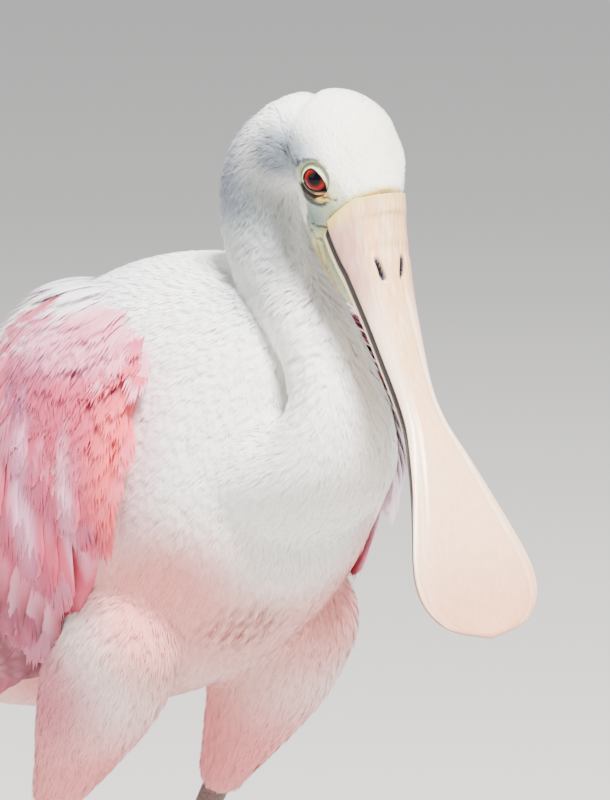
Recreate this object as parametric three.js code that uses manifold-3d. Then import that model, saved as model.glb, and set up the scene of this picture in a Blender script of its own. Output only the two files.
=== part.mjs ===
// Roseate spoonbill in its white-headed immature plumage, life size, standing at rest with its neck drawn in.
// Millimetres, +Z up. The bird faces -Y and its left side is +X.
import * as THREE from "three";
import { mergeVertices } from "three/addons/utils/BufferGeometryUtils.js";
import Module from "manifold-3d";

const wasm = await Module();
wasm.setup();

// Driving sizes, in millimetres and degrees
const GAP = 0.3;
const BODY_HEIGHT = 268;
const BODY_PITCH = 38;
const BILL_LENGTH = 158;
const BILL_PITCH = 68.5;
const BILL_ROOT_FORE = 146.5;
const BILL_ROOT_UP = 385;
const GAPE_OPENING = 0.6;
const EYE_RADIUS = 6.6;
const EYE_OPENING = 4.9;
const VANE_THICKNESS = 0.7;
const SHINGLE = VANE_THICKNESS + GAP;
const FOOT_SPREAD = 34;

const UP = new THREE.Vector3(0, 0, 1);
const LEFT = new THREE.Vector3(1, 0, 0);
const RIGHT = new THREE.Vector3(-1, 0, 0);
const radians = THREE.MathUtils.degToRad;

// A point from its distance to the bird's left, ahead of the body's middle and above the floor.
function at(side, fore, up) {
  return new THREE.Vector3(side, -fore, up);
}

// The value at x of a smooth curve through the points (xs[i], ys[i]).
function through(xs, ys, x) {
  const last = xs.length - 1;
  const bounded = THREE.MathUtils.clamp(x, xs[0], xs[last]);
  let i = 0;
  while (i < last - 1 && bounded > xs[i + 1]) i += 1;
  const slope = (j) => {
    const a = Math.max(j - 1, 0);
    const b = Math.min(j + 1, last);
    return (ys[b] - ys[a]) / (xs[b] - xs[a]);
  };
  const run = xs[i + 1] - xs[i];
  const f = (bounded - xs[i]) / run;
  const enter = slope(i) * run;
  const leave = slope(i + 1) * run;
  const bend = 2 * (ys[i] - ys[i + 1]) + enter + leave;
  const lift = 3 * (ys[i + 1] - ys[i]) - 2 * enter - leave;
  return ((bend * f + lift) * f + enter) * f + ys[i];
}

// A rounded form along a line in space. Each station gives a centre and the half sizes of the section there:
// to the side, over the line and under it. The ends close as quarter ellipses of the given lengths.
class Form {
  constructor({ stations, caps, power = 2, dorsal = UP, across = null }) {
    this.stations = stations;
    this.caps = caps;
    this.power = power;
    this.dorsal = dorsal;
    this.across = across;
    this.places = [0];
    for (let i = 1; i < stations.length; i++) {
      this.places.push(this.places[i - 1] + stations[i].centre.distanceTo(stations[i - 1].centre));
    }
    this.length = this.places[this.places.length - 1];
  }

  field(name, place) {
    return through(this.places, this.stations.map((s) => s[name]), place);
  }

  centre(place) {
    const part = (axis) => through(this.places, this.stations.map((s) => s.centre[axis]), place);
    return new THREE.Vector3(part("x"), part("y"), part("z"));
  }

  // How much of the section's size is left at a place, by the rounding of the ends.
  closing(place) {
    const [start, end] = this.caps;
    const quarter = (x) => Math.sqrt(Math.max(0, 1 - (1 - Math.min(x, 1)) ** 2));
    return quarter(place / start) * quarter((this.length - place) / end);
  }

  axes(place) {
    const step = this.length * 0.01;
    const ahead = this.centre(Math.min(place + step, this.length));
    const along = ahead.sub(this.centre(Math.max(place - step, 0))).normalize();
    const over = this.across
      ? new THREE.Vector3().crossVectors(along, this.across)
      : this.dorsal.clone().addScaledVector(along, -along.dot(this.dorsal)).normalize();
    return { along, over, side: new THREE.Vector3().crossVectors(along, over) };
  }

  // A point of the surface. The angle runs from the top of the section, 0, towards its side axis.
  surface(place, angle, lift = 0) {
    const { over, side } = this.axes(place);
    const round = (x) => Math.sign(x) * Math.abs(x) ** (2 / this.power);
    const closing = this.closing(place);
    const rise = Math.cos(angle);
    const depth = this.field(rise > 0 ? "over" : "under", place) * closing + lift;
    const width = this.field("side", place) * closing + lift;
    return this.centre(place)
      .addScaledVector(over, depth * round(rise))
      .addScaledVector(side, width * round(Math.sin(angle)));
  }

  normal(place, angle) {
    const step = 1;
    const turn = 0.02;
    const forward = this.surface(place + step, angle).sub(this.surface(place - step, angle));
    const round = this.surface(place, angle + turn).sub(this.surface(place, angle - turn));
    return round.cross(forward).normalize();
  }

  // The closed skin of the form, from a sphere whose rings are moved to the sections. The form can be grown.
  geometry(around, along, grow = 0) {
    const sphere = new THREE.SphereGeometry(1, around, along);
    const positions = sphere.getAttribute("position");
    const uv = sphere.getAttribute("uv");
    for (let i = 0; i < positions.count; i++) {
      const round = 1 - uv.getY(i);
      const place = ((1 - Math.cos(Math.PI * round)) / 2) * this.length;
      const pole = round < 1e-6 ? -1 : round > 1 - 1e-6 ? 1 : 0;
      const lift = pole ? 0 : grow;
      const point = this.surface(place, uv.getX(i) * 2 * Math.PI, lift);
      if (pole) point.addScaledVector(this.axes(place).along, pole * grow);
      positions.setXYZ(i, point.x, point.y, point.z);
    }
    return sphere;
  }
}

// The solid of a closed geometry, with its faces turned outwards.
function solidOf(geometry) {
  const bare = new THREE.BufferGeometry().setAttribute("position", geometry.getAttribute("position"));
  if (geometry.index) bare.setIndex(geometry.index);
  const merged = mergeVertices(bare, 1e-4);
  const points = merged.getAttribute("position").array;
  const kept = [];
  const index = merged.index.array;
  for (let i = 0; i < index.length; i += 3) {
    const [a, b, c] = [index[i], index[i + 1], index[i + 2]];
    if (a !== b && b !== c && c !== a) kept.push(a, b, c);
  }
  const vertProperties = new Float32Array(points);
  const make = (triangles) =>
    new wasm.Manifold(new wasm.Mesh({ numProp: 3, vertProperties, triVerts: new Uint32Array(triangles) }));
  const made = make(kept);
  if (made.volume() > 0) return made;
  for (let i = 0; i < kept.length; i += 3) [kept[i + 1], kept[i + 2]] = [kept[i + 2], kept[i + 1]];
  return make(kept);
}

// The largest closed body of a solid: a sealed hollow is filled and a loose scrap is dropped.
function largest(solid) {
  const bodies = solid.decompose();
  return bodies.reduce((best, body) => (body.volume() > best.volume() ? body : best), bodies[0]);
}

function union(solids) {
  return solids.reduce((whole, piece) => whole.add(piece));
}

function cutBy(solid, others) {
  return others.reduce((left, other) => left.subtract(other), solid);
}

// One named sub-part with its own material.
function part(name, solid, finish) {
  const mesh = largest(solid).getMesh();
  const positions = new Float32Array(mesh.numVert * 3);
  for (let i = 0; i < mesh.numVert; i++) {
    const from = i * mesh.numProp;
    positions.set(mesh.vertProperties.subarray(from, from + 3), i * 3);
  }
  const geometry = new THREE.BufferGeometry()
    .setAttribute("position", new THREE.BufferAttribute(positions, 3))
    .setIndex(new THREE.BufferAttribute(new Uint32Array(mesh.triVerts), 1));
  geometry.computeVertexNormals();
  const made = new THREE.Mesh(geometry, new THREE.MeshStandardMaterial({ metalness: 0, ...finish }));
  made.name = name;
  return made;
}

function mirrored(solid) {
  return solid.mirror([1, 0, 0]);
}

// Random numbers from 0 to 1 that are the same in every run.
function seeded(seed) {
  let state = seed;
  return () => {
    state = (state * 1664525 + 1013904223) % 4294967296;
    return state / 4294967296;
  };
}

// Finishes of the plumage, the bare skin and the horn
const FINISH = {
  white: { color: 0xf3efec, roughness: 0.9 },
  blush: { color: 0xf0d3d6, roughness: 0.9 },
  pink: { color: 0xeea9b6, roughness: 0.85 },
  horn: { color: 0xdcc6b8, roughness: 0.45 },
  iris: { color: 0x9c1410, roughness: 0.08 },
  leg: { color: 0x6d5b57, roughness: 0.6 },
};

// The trunk's own line runs up and forward from the rump to the breast
const BODY_ALONG = at(0, Math.cos(radians(BODY_PITCH)), Math.sin(radians(BODY_PITCH)));
const BODY_OVER = at(0, -Math.sin(radians(BODY_PITCH)), Math.cos(radians(BODY_PITCH)));
const BODY_MIDDLE = at(0, 0, BODY_HEIGHT);

// A station on the trunk: its distance from the body's middle towards the tail, and the section's half sizes.
function trunkStation(back, raise, side, over, under) {
  const centre = BODY_MIDDLE.clone().addScaledVector(BODY_ALONG, -back).addScaledVector(BODY_OVER, raise);
  return { centre, side, over, under };
}

const torsoForm = new Form({
  dorsal: BODY_OVER,
  power: 2.15,
  caps: [62, 40],
  stations: [
    trunkStation(-112, 4, 50, 42, 56),
    trunkStation(-80, 2, 60, 52, 74),
    trunkStation(-40, 0, 66, 57, 84),
    trunkStation(0, 0, 66, 56, 82),
    trunkStation(45, 2, 58, 48, 68),
    trunkStation(90, 6, 43, 35, 46),
    trunkStation(125, 10, 30, 23, 27),
    trunkStation(150, 12, 24, 16, 18),
  ],
});
const torsoSolid = (grow) => solidOf(torsoForm.geometry(28, 18, grow));

// The bill sets the head's own axes: ahead of the forehead's feather line, and over it
const BILL_ALONG = at(0, Math.cos(radians(BILL_PITCH)), -Math.sin(radians(BILL_PITCH)));
const BILL_OVER = at(0, Math.sin(radians(BILL_PITCH)), Math.cos(radians(BILL_PITCH)));
const BILL_ROOT = at(0, BILL_ROOT_FORE, BILL_ROOT_UP);

function onHead(side, ahead, over) {
  return BILL_ROOT.clone()
    .addScaledVector(LEFT, side)
    .addScaledVector(BILL_ALONG, ahead)
    .addScaledVector(BILL_OVER, over);
}

function headStation(ahead, raise, side, over, under) {
  return { centre: onHead(0, ahead, raise), side, over, under };
}

const headForm = new Form({
  dorsal: BILL_OVER,
  caps: [20, 12],
  stations: [
    headStation(-41, -23.5, 13.5, 13.5, 17),
    headStation(-33, -21.5, 17.5, 17.2, 20),
    headStation(-23, -19.8, 20, 18.9, 20),
    headStation(-12, -18.8, 20, 18.3, 19),
    headStation(0, -17.6, 16.2, 16.4, 16.5),
    headStation(10, -18, 15, 14, 15),
    headStation(20, -19, 12, 9, 11),
  ],
});

// The bare skin of the throat, under the root of the lower bill
const throatForm = new Form({
  dorsal: BILL_OVER,
  caps: [14, 8],
  stations: [
    headStation(-26, -25, 13, 9, 9),
    headStation(-6, -28, 14, 9, 11.5),
    headStation(12, -28.5, 12.5, 5, 9),
    headStation(27, -24.5, 9, 3, 6.5),
    headStation(40, -20.5, 5, 2, 3.5),
  ],
});

// The bill's outline from above: half its width at each distance ahead of the feather line
const billWidth = (ahead) =>
  through(
    [-6, 8, 24, 40, 56, 70, 82, 95, 108, 120, 130, 139, 147, 153, 157.5, 160],
    [14.4, 14.5, 13.2, 11, 9.2, 8, 8.8, 12.6, 16.7, 20.7, 24, 25.6, 24.2, 19.6, 12.4, 3],
    (ahead * 160) / BILL_LENGTH,
  );
const culmenDip = (ahead) =>
  through(
    [-6, 0, 8, 20, 28, 40, 70, 100, 130, 160],
    [0.5, -0.2, -3, -6.8, -8.8, -10, -8.8, -3.9, -1.6, -0.6],
    ahead,
  );
const upperDepth = (ahead) =>
  through(
    [-6, 8, 20, 26, 40, 68, 93, 120, 150, 160],
    [21, 17, 11.6, 8.6, 5.8, 4.3, 3.4, 2.7, 2.3, 1.6],
    ahead,
  );
const lowerDepth = (ahead) =>
  through([-6, 10, 27, 45, 93, 120, 140, 155, 160], [9, 9, 8.2, 6.8, 5, 3.8, 3, 2.2, 1.4], ahead);

function billStations(from, to, count, describe) {
  return Array.from({ length: count }, (_, i) => describe(from + ((to - from) * i) / (count - 1)));
}

const upperBillForm = new Form({
  dorsal: BILL_OVER,
  power: 2.2,
  caps: [0.5, 2.2],
  stations: billStations(0.2, BILL_LENGTH, 40, (ahead) => {
    const depth = upperDepth(ahead);
    return headStation(ahead, culmenDip(ahead) - depth + 0.3, billWidth(ahead), depth - 0.3, 0.3);
  }),
});

const lowerBillForm = new Form({
  dorsal: BILL_OVER,
  power: 2.8,
  caps: [6, 2.2],
  stations: billStations(4, BILL_LENGTH - 1.5, 36, (ahead) => {
    const tomium = culmenDip(ahead) - upperDepth(ahead) - GAPE_OPENING;
    return headStation(ahead, tomium - 0.3, billWidth(ahead) - 0.9, 0.3, lowerDepth(ahead) - 0.3);
  }),
});

// The feathers of the face end in a plane, from the forehead to the corners of the mouth
const MOUTH_CORNER = { ahead: 7, over: -23 };
const faceNormal = BILL_ALONG.clone().multiplyScalar(-MOUTH_CORNER.over)
  .addScaledVector(BILL_OVER, MOUTH_CORNER.ahead)
  .normalize();
const faceReach = BILL_ROOT.dot(faceNormal);

const beforeFace = (solid) => solid.trimByPlane(faceNormal.toArray(), faceReach + GAP / 2);
const behindFace = (solid) => solid.trimByPlane(faceNormal.clone().negate().toArray(), GAP / 2 - faceReach);

// A nostril is a narrow slit beside the top of the bill
const NOSTRIL = { side: 4.6, ahead: 27, over: -9.2, length: 8.6, width: 1.3, depth: 5 };

function nostrilSlit() {
  const slit = new THREE.SphereGeometry(0.5, 8, 6).scale(NOSTRIL.width, NOSTRIL.length, NOSTRIL.depth);
  slit.rotateX(radians(-90 - BILL_PITCH));
  return solidOf(slit.translate(...onHead(NOSTRIL.side, NOSTRIL.ahead, NOSTRIL.over).toArray()));
}

// The neck leaves the back of the head, sinks between the shoulders and swings forward in a deep bend
function neckStation(fore, up, side, over, under) {
  return { centre: at(0, fore, up), side, over, under };
}

const neckForm = new Form({
  across: RIGHT,
  caps: [16, 24],
  stations: [
    neckStation(118, 396.5, 18, 19, 15),
    neckStation(102, 396.2, 19.2, 17.6, 16),
    neckStation(87, 388, 19.3, 18, 17),
    neckStation(80, 371, 18, 18, 17),
    neckStation(85, 354, 17, 17, 16),
    neckStation(99, 339, 15.5, 16, 14),
    neckStation(112, 323, 16, 16, 14),
    neckStation(119, 305, 20, 18, 16),
    neckStation(113, 288, 28, 22, 20),
    neckStation(93, 279, 35, 26, 24),
    neckStation(66, 276, 32, 22, 22),
  ],
});

// Eyes, with the direction in which the left one looks
const EYE_AHEAD = -9.8;
const EYE_OVER = -15.5;
const EYE_SIDE = 13.7;
const EYE_TURN = 20;
const eyeCentre = onHead(EYE_SIDE, EYE_AHEAD, EYE_OVER);
const eyeLooks = LEFT.clone().multiplyScalar(Math.cos(radians(EYE_TURN)))
  .addScaledVector(BILL_ALONG, Math.sin(radians(EYE_TURN)) * Math.SQRT1_2)
  .addScaledVector(BILL_OVER, Math.sin(radians(EYE_TURN)) * Math.SQRT1_2)
  .normalize();
const beforeEye = (distance) => eyeCentre.clone().addScaledVector(eyeLooks, distance).toArray();

function ball(centre, radius, across, down) {
  return solidOf(new THREE.SphereGeometry(radius, across, down).translate(...centre));
}

// The eyelids are a low ring at the skin, round an opening that leaves the front of the eye free
const LID = { radius: EYE_OPENING + 0.5, thickness: 1.8, out: 4.9 };
const OPENING_OUT = 7;

function lidRing() {
  const ring = new THREE.TorusGeometry(LID.radius, LID.thickness / 2, 6, 12);
  ring.applyQuaternion(new THREE.Quaternion().setFromUnitVectors(UP, eyeLooks));
  return solidOf(ring.translate(...beforeEye(LID.out)));
}

function eyeRoom() {
  const socket = ball(beforeEye(0), EYE_RADIUS + GAP, 14, 9);
  return union([socket, ball(beforeEye(OPENING_OUT), EYE_OPENING + GAP, 14, 9)]);
}

// Wings: the surface of the folded wing lies over the trunk's and runs on past the rump to the wing tips
const FLANK_FRONT = -118;
const WING_FRONT = -90;
const WING_TIP = 252;
const flankForm = new Form({
  dorsal: BODY_OVER,
  power: 2.1,
  caps: [66, 0.01],
  stations: [
    trunkStation(FLANK_FRONT, 4, 55, 47, 62),
    trunkStation(-80, 2, 67, 58, 80),
    trunkStation(-40, 0, 73, 63, 90),
    trunkStation(0, 0, 73, 61, 88),
    trunkStation(45, 2, 65, 54, 74),
    trunkStation(90, 6, 51, 42, 54),
    trunkStation(130, 10, 39, 32, 37),
    trunkStation(170, 13, 30, 25, 27),
    trunkStation(215, 14, 22, 19, 19),
    trunkStation(264, 14, 14, 13, 12),
  ],
});
const flank = (back, degrees, lift = 0) => {
  const place = back - FLANK_FRONT;
  const angle = radians(degrees);
  return flankForm.surface(place, angle).addScaledVector(flankForm.normal(place, angle), lift);
};
const wingTopEdge = (back) =>
  through([-90, -82, -65, -40, 0, 60, 120, 180, 252], [84, 66, 49, 38, 29, 22, 16, 14, 26], back);
const wingLowEdge = (back) =>
  through(
    [-90, -84, -65, -39, -14, 20, 60, 100, 140, 190, 252],
    [94, 102, 113, 121, 129, 137, 130, 114, 96, 76, 46],
    back,
  );
const wingDepth = (back) => through([-90, -60, 0, 100, 150, 252], [6, 12, 15, 14, 6, 2.6], back);
// The wing's base sinks into the body's plumage along its upper edge and at its front
const EDGE_SINK = 4.5;
const wingSink = (u, v) => EDGE_SINK * Math.max(1 - u / 0.2, 0, 1 - v / 0.08);

// A closed sheet of the given thickness over a grid. Each place of the grid gives a point and a normal.
function sheet(across, along, place) {
  const plane = new THREE.PlaneGeometry(1, 1, across, along);
  const uv = plane.getAttribute("uv");
  const points = [];
  for (const face of [1, -1]) {
    for (let i = 0; i < uv.count; i++) {
      const { point, normal, thickness } = place(uv.getX(i), 1 - uv.getY(i));
      points.push(point.clone().addScaledVector(normal, (face * thickness) / 2));
    }
  }
  const top = Array.from(plane.index.array);
  const triangles = [...top];
  for (let i = 0; i < top.length; i += 3) {
    triangles.push(top[i] + uv.count, top[i + 2] + uv.count, top[i + 1] + uv.count);
  }
  const rim = [];
  for (let i = 0; i < across; i++) rim.push(i);
  for (let j = 0; j < along; j++) rim.push(j * (across + 1) + across);
  for (let i = across; i > 0; i--) rim.push(along * (across + 1) + i);
  for (let j = along; j > 0; j--) rim.push(j * (across + 1));
  rim.forEach((a, i) => {
    const b = rim[(i + 1) % rim.length];
    triangles.push(a, b, b + uv.count, a, b + uv.count, a + uv.count);
  });
  const geometry = new THREE.BufferGeometry().setFromPoints(points);
  geometry.setIndex(triangles);
  return solidOf(geometry);
}

// The share of a feather's length in which it dives under the ones before it
const DIVE = 0.16;

// A feather's vane on a skin, whose points are given by two coordinates and a lift. It dives into the skin at
// its root and rises to its round tip. It is tilted, so that its lower edge lies over the next feather.
function vane({ skin, root, tip, webs, rise, rows, tilt = 0, spacing = [1, 1] }) {
  const [sunk, low, high] = rise;
  const lerp = THREE.MathUtils.lerp;
  const rising = (f) => (f < DIVE ? lerp(sunk, low, f / DIVE) : lerp(low, high, (f - DIVE) / (1 - DIVE)));
  const breadth = (f) => {
    const broadening = 0.6 + 0.4 * Math.min(f / 0.4, 1);
    const rounding = f > 0.7 ? Math.sqrt(Math.max(0.06, 1 - ((f - 0.7) / 0.3) ** 2)) : 1;
    return broadening * rounding;
  };
  return sheet(2, rows, (u, v) => {
    const f = v * rows < 1.01 && v > 0 ? DIVE : Math.sin((Math.PI / 2) * v) * 0.3 + v * 0.7;
    const spot = [lerp(root[0], tip[0], f), lerp(root[1], tip[1], f)];
    const here = skin(...spot);
    const byFirst = skin(spot[0] + 1, spot[1]).sub(here);
    const bySecond = skin(spot[0], spot[1] + 1).sub(here);
    const normal = skin(...spot, 1).sub(here).normalize();
    const along = byFirst.clone().multiplyScalar(tip[0] - root[0]);
    along.addScaledVector(bySecond, tip[1] - root[1]);
    const side = new THREE.Vector3().crossVectors(normal, along).normalize();
    const x = lerp(-webs[0], webs[1], u) * breadth(f);
    const point = skin(
      spot[0] + (x * side.dot(byFirst)) / byFirst.lengthSq(),
      spot[1] + (x * side.dot(bySecond)) / bySecond.lengthSq(),
      rising(f) - (tilt * x) / lerp(spacing[0], spacing[1], f),
    );
    return { point, normal, thickness: VANE_THICKNESS };
  });
}

// The folded wing's tiers of feathers, from the primaries to the marginal coverts: how many, the half width
// of their webs, how far they lie off the skin at the root, after the dive and at the tip, and the root and
// tip of the first and of the last feather. A place is given as distance behind the body's middle and degrees
// down from the back. At the shoulder the coverts hang steeply, and towards the rump they follow the body.
const COVERT_RISE = [-2.5, 0.6, 3.2];
const TIP_SCATTER = 4;
const WING_TIERS = [
  { count: 5, web: 8.5, rise: [-2.5, 0.3, 0.6], rows: 4,
    first: [[118, 40], [246, 36]], last: [[92, 100], [168, 90]] },
  { count: 7, web: 10, rise: [-2.5, 0.6, 2.6], rows: 3,
    first: [[56, 32], [134, 32]], last: [[46, 118], [106, 108]] },
  { count: 8, web: 9.5, rise: COVERT_RISE, rows: 3,
    first: [[10, 34], [70, 38]], last: [[2, 124], [58, 126]] },
  { count: 8, web: 9, rise: COVERT_RISE, rows: 3,
    first: [[-28, 40], [16, 50]], last: [[-32, 112], [10, 129]] },
  { count: 7, web: 8.5, rise: COVERT_RISE, rows: 3,
    first: [[-60, 48], [-27, 66]], last: [[-58, 102], [-25, 121]] },
  { count: 5, web: 8.5, rise: COVERT_RISE, rows: 3,
    first: [[-82, 66], [-59, 84]], last: [[-81, 92], [-57, 110]] },
];

function wingSlab() {
  return sheet(5, 10, (u, v) => {
    const back = THREE.MathUtils.lerp(WING_FRONT, WING_TIP, v);
    const degrees = THREE.MathUtils.lerp(wingTopEdge(back), wingLowEdge(back), u);
    const thickness = wingDepth(back);
    const point = flank(back, degrees, -thickness / 2 - wingSink(u, v));
    return { point, normal: flank(back, degrees, 1).sub(flank(back, degrees, 0)), thickness };
  });
}

// The space that the wing takes up on the body's side as far back as the thigh reaches, for the thigh to keep
// clear of: from just under its base to just past its feathers.
const WING_ROOM = { back: 110, outside: 6, below: 3 };

function wingRoom() {
  const { outside } = WING_ROOM;
  const under = GAP;
  return sheet(5, 10, (u, v) => {
    const back = THREE.MathUtils.lerp(WING_FRONT, WING_ROOM.back, v);
    const degrees = THREE.MathUtils.lerp(wingTopEdge(back), wingLowEdge(back) + WING_ROOM.below, u);
    const thickness = wingDepth(back) + under + outside;
    const point = flank(back, degrees, outside - thickness / 2);
    return { point, normal: flank(back, degrees, 1).sub(flank(back, degrees, 0)), thickness };
  });
}

// One tier of feathers. Neighbours are tilted just enough to lie clear of each other.
function wingTier({ count, web, rise, rows, first, last }, random) {
  const ends = (i) => {
    const mix = (end, which) => THREE.MathUtils.lerp(first[end][which], last[end][which], i / (count - 1));
    return { root: [mix(0, 0), mix(0, 1)], tip: [mix(1, 0), mix(1, 1)] };
  };
  const [a, b] = [ends((count - 1) / 2), ends((count + 1) / 2)];
  const normal = flank(...a.tip, 1).sub(flank(...a.tip));
  const side = flank(...a.tip).sub(flank(...a.root)).cross(normal).normalize();
  const spacing = ["root", "tip"].map((end) => Math.abs(flank(...a[end]).sub(flank(...b[end])).dot(side)));
  return Array.from({ length: count }, (_, i) => {
    const { root, tip } = ends(i);
    tip[0] += (random() - 0.5) * TIP_SCATTER;
    return vane({ skin: flank, root, tip, webs: [web, web], rise, rows, tilt: SHINGLE, spacing });
  });
}

function wingSolid(seed) {
  const random = seeded(seed);
  return union([wingSlab(), ...WING_TIERS.flatMap((tier) => wingTier(tier, random))]);
}

// Tail: twelve feathers that fan a little, the middle pair on top
const TAIL_LENGTH = 104;
const TAIL_ROOT = 142;
const TAIL_ROOT_STEP = 2.4;
const TAIL_OVER = 5;
const TAIL_WEBS = [3.2, 12];
const FAN_STEP = 2.3;
const LENGTH_STEP = 1.8;
const CENTRAL_PAIR = { web: 9, rise: 2.6, apart: VANE_THICKNESS + 0.4 };
const tailBaseForm = new Form({
  dorsal: BODY_OVER,
  caps: [4, 14],
  stations: [
    trunkStation(132, 9, 22, 12, 14),
    trunkStation(156, 8, 20, 8, 10),
    trunkStation(184, 6, 15, 4, 5),
  ],
});

function tailFeather(k, hand) {
  const central = k === 0;
  const fan = radians(FAN_STEP * (k + 0.5));
  const length = TAIL_LENGTH - LENGTH_STEP * k;
  const skin = (back, fromMiddle, lift = 0) =>
    BODY_MIDDLE.clone()
      .addScaledVector(BODY_ALONG, -back)
      .addScaledVector(LEFT, fromMiddle)
      .addScaledVector(BODY_OVER, TAIL_OVER + lift);
  const level = central ? CENTRAL_PAIR.rise + (hand > 0 ? CENTRAL_PAIR.apart : 0) : 0;
  const outwards = hand > 0 ? TAIL_WEBS : [...TAIL_WEBS].reverse();
  const reach = TAIL_ROOT_STEP * (k + 0.5);
  return vane({
    skin,
    root: [TAIL_ROOT, hand * reach],
    tip: [TAIL_ROOT + length * Math.cos(fan), hand * (reach + length * Math.sin(fan))],
    webs: central ? [CENTRAL_PAIR.web, CENTRAL_PAIR.web] : outwards,
    rise: [level, level, level],
    rows: 3,
    tilt: central ? 0 : hand * SHINGLE,
    spacing: [TAIL_ROOT_STEP, TAIL_ROOT_STEP + length * radians(FAN_STEP)],
  });
}

function tailSolid() {
  const pieces = [solidOf(tailBaseForm.geometry(14, 7))];
  for (let k = 0; k < 6; k++) pieces.push(tailFeather(k, 1), tailFeather(k, -1));
  return union(pieces);
}

// Legs: feathered thigh, bare shank with the heel joint, and the foot flat on the floor
const KNEE = [38, 38, 212];
const THIGH_END = [37, 0, 152];
const HEEL = [36, -20, 120];
const FOOT = [FOOT_SPREAD, 12, 12];
const TOES = [
  { turn: 3, length: 82, claw: 8 },
  { turn: -27, length: 64, claw: 7 },
  { turn: 33, length: 72, claw: 7 },
  { turn: 172, length: 40, claw: 8 },
];

function limb(points) {
  return points.map(([place, side, over, under]) => ({ centre: at(...place), side, over, under }));
}
const between = (a, b, f) => a.map((x, i) => THREE.MathUtils.lerp(x, b[i], f));

const thighForm = new Form({
  dorsal: at(0, 1, 0),
  caps: [20, 7],
  stations: limb([
    [between(THIGH_END, KNEE, 1.5), 20, 23, 23],
    [between(THIGH_END, KNEE, 1.2), 23, 27, 26],
    [between(THIGH_END, KNEE, 0.85), 22, 26, 24],
    [between(THIGH_END, KNEE, 0.5), 16.5, 19, 18],
    [between(THIGH_END, KNEE, 0.2), 10.5, 12, 12],
    [THIGH_END, 8, 8.5, 9],
  ]),
});

const shankForm = new Form({
  dorsal: at(0, 1, 0),
  caps: [1, 3],
  stations: limb([
    [between(THIGH_END, KNEE, 0.1), 4.6, 5, 5],
    [between(HEEL, THIGH_END, 0.4), 4.4, 4.8, 5],
    [HEEL, 6.4, 6.6, 7.4],
    [between(HEEL, FOOT, 0.14), 4.6, 5.2, 5.4],
    [between(HEEL, FOOT, 0.5), 3.9, 4.4, 4.4],
    [between(HEEL, FOOT, 0.9), 4.4, 5, 5],
    [FOOT, 6, 6.5, 6],
  ]),
});

function toeForm({ turn, length, claw }) {
  const angle = radians(turn);
  const on = (distance, up) =>
    at(FOOT[0] + distance * Math.sin(angle), FOOT[1] + distance * Math.cos(angle), up);
  return new Form({
    dorsal: UP,
    caps: [3, 2],
    stations: [
      { centre: on(-4, 5.5), side: 4.6, over: 5, under: 5 },
      { centre: on(10, 4.6), side: 4, over: 3.8, under: 5 },
      { centre: on(length * 0.55, 3.8), side: 3.5, over: 3, under: 4.2 },
      { centre: on(length - claw, 3.2), side: 3, over: 2.6, under: 3.6 },
      { centre: on(length, 1.4), side: 1.1, over: 1.1, under: 1.8 },
    ],
  });
}

// The small web between two toes near the foot, and the ball of the foot that the toes grow from
const WEB = { reach: 28, notch: 18, thickness: 1.8, up: 1.2 };
const BALL = { radius: 7, up: 6.5 };

function web(a, b) {
  const tip = ({ turn }, distance) => [
    FOOT[0] + distance * Math.sin(radians(turn)),
    -FOOT[1] - distance * Math.cos(radians(turn)),
  ];
  const outline = new THREE.Shape();
  outline.moveTo(FOOT[0], -FOOT[1]);
  outline.lineTo(...tip(a, WEB.reach));
  const middle = tip({ turn: (a.turn + b.turn) / 2 }, WEB.notch);
  outline.quadraticCurveTo(...middle, ...tip(b, WEB.reach));
  const depth = WEB.thickness;
  const skin = new THREE.ExtrudeGeometry(outline, { depth, bevelEnabled: false, curveSegments: 4 });
  return solidOf(skin.translate(0, 0, WEB.up));
}

function footSolid() {
  const toes = TOES.map((toe) => solidOf(toeForm(toe).geometry(8, 6)));
  const [middle, inner, outer] = TOES;
  const hub = ball(at(FOOT[0], FOOT[1], BALL.up).toArray(), BALL.radius, 8, 6);
  return union([...toes, hub, web(middle, inner), web(middle, outer)]).trimByPlane([0, 0, 1], 0);
}

// Assembly of the solids. Each neighbour that a solid is cut by is grown by the gap.
const both = (solid) => [solid, mirrored(solid)];
const torsoRoom = torsoSolid(GAP);
const headSkin = solidOf(headForm.geometry(22, 15));
const throat = solidOf(throatForm.geometry(14, 9));
const billSolids = (grow) => [
  solidOf(upperBillForm.geometry(14, 26, grow)),
  solidOf(lowerBillForm.geometry(12, 26, grow)),
];
const billRooms = billSolids(GAP);
const [upperBillWhole, lowerBill] = billSolids(0);
const face = union([behindFace(headSkin), throat, ...both(lidRing())]);
const head = cutBy(face, [...both(eyeRoom()), ...billRooms]);
const headRoom = union([solidOf(headForm.geometry(22, 15, GAP)), solidOf(throatForm.geometry(14, 9, GAP))]);
const neck = cutBy(solidOf(neckForm.geometry(18, 17)), [torsoRoom, headRoom, ...billRooms]);
const upperBill = cutBy(beforeFace(upperBillWhole), both(nostrilSlit()));
const eye = ball(beforeEye(0), EYE_RADIUS, 14, 9);
const tail = cutBy(tailSolid(), [torsoRoom]);
const tailRoom = solidOf(tailBaseForm.geometry(14, 7, GAP));
const wing = cutBy(wingSolid(7), [torsoRoom, tailRoom]);
const thigh = cutBy(solidOf(thighForm.geometry(16, 9)), [torsoRoom, wingRoom()]);
const shank = cutBy(solidOf(shankForm.geometry(10, 13)), [solidOf(thighForm.geometry(16, 9, GAP))]);
const foot = cutBy(footSolid(), [solidOf(shankForm.geometry(10, 13, GAP))]);

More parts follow.
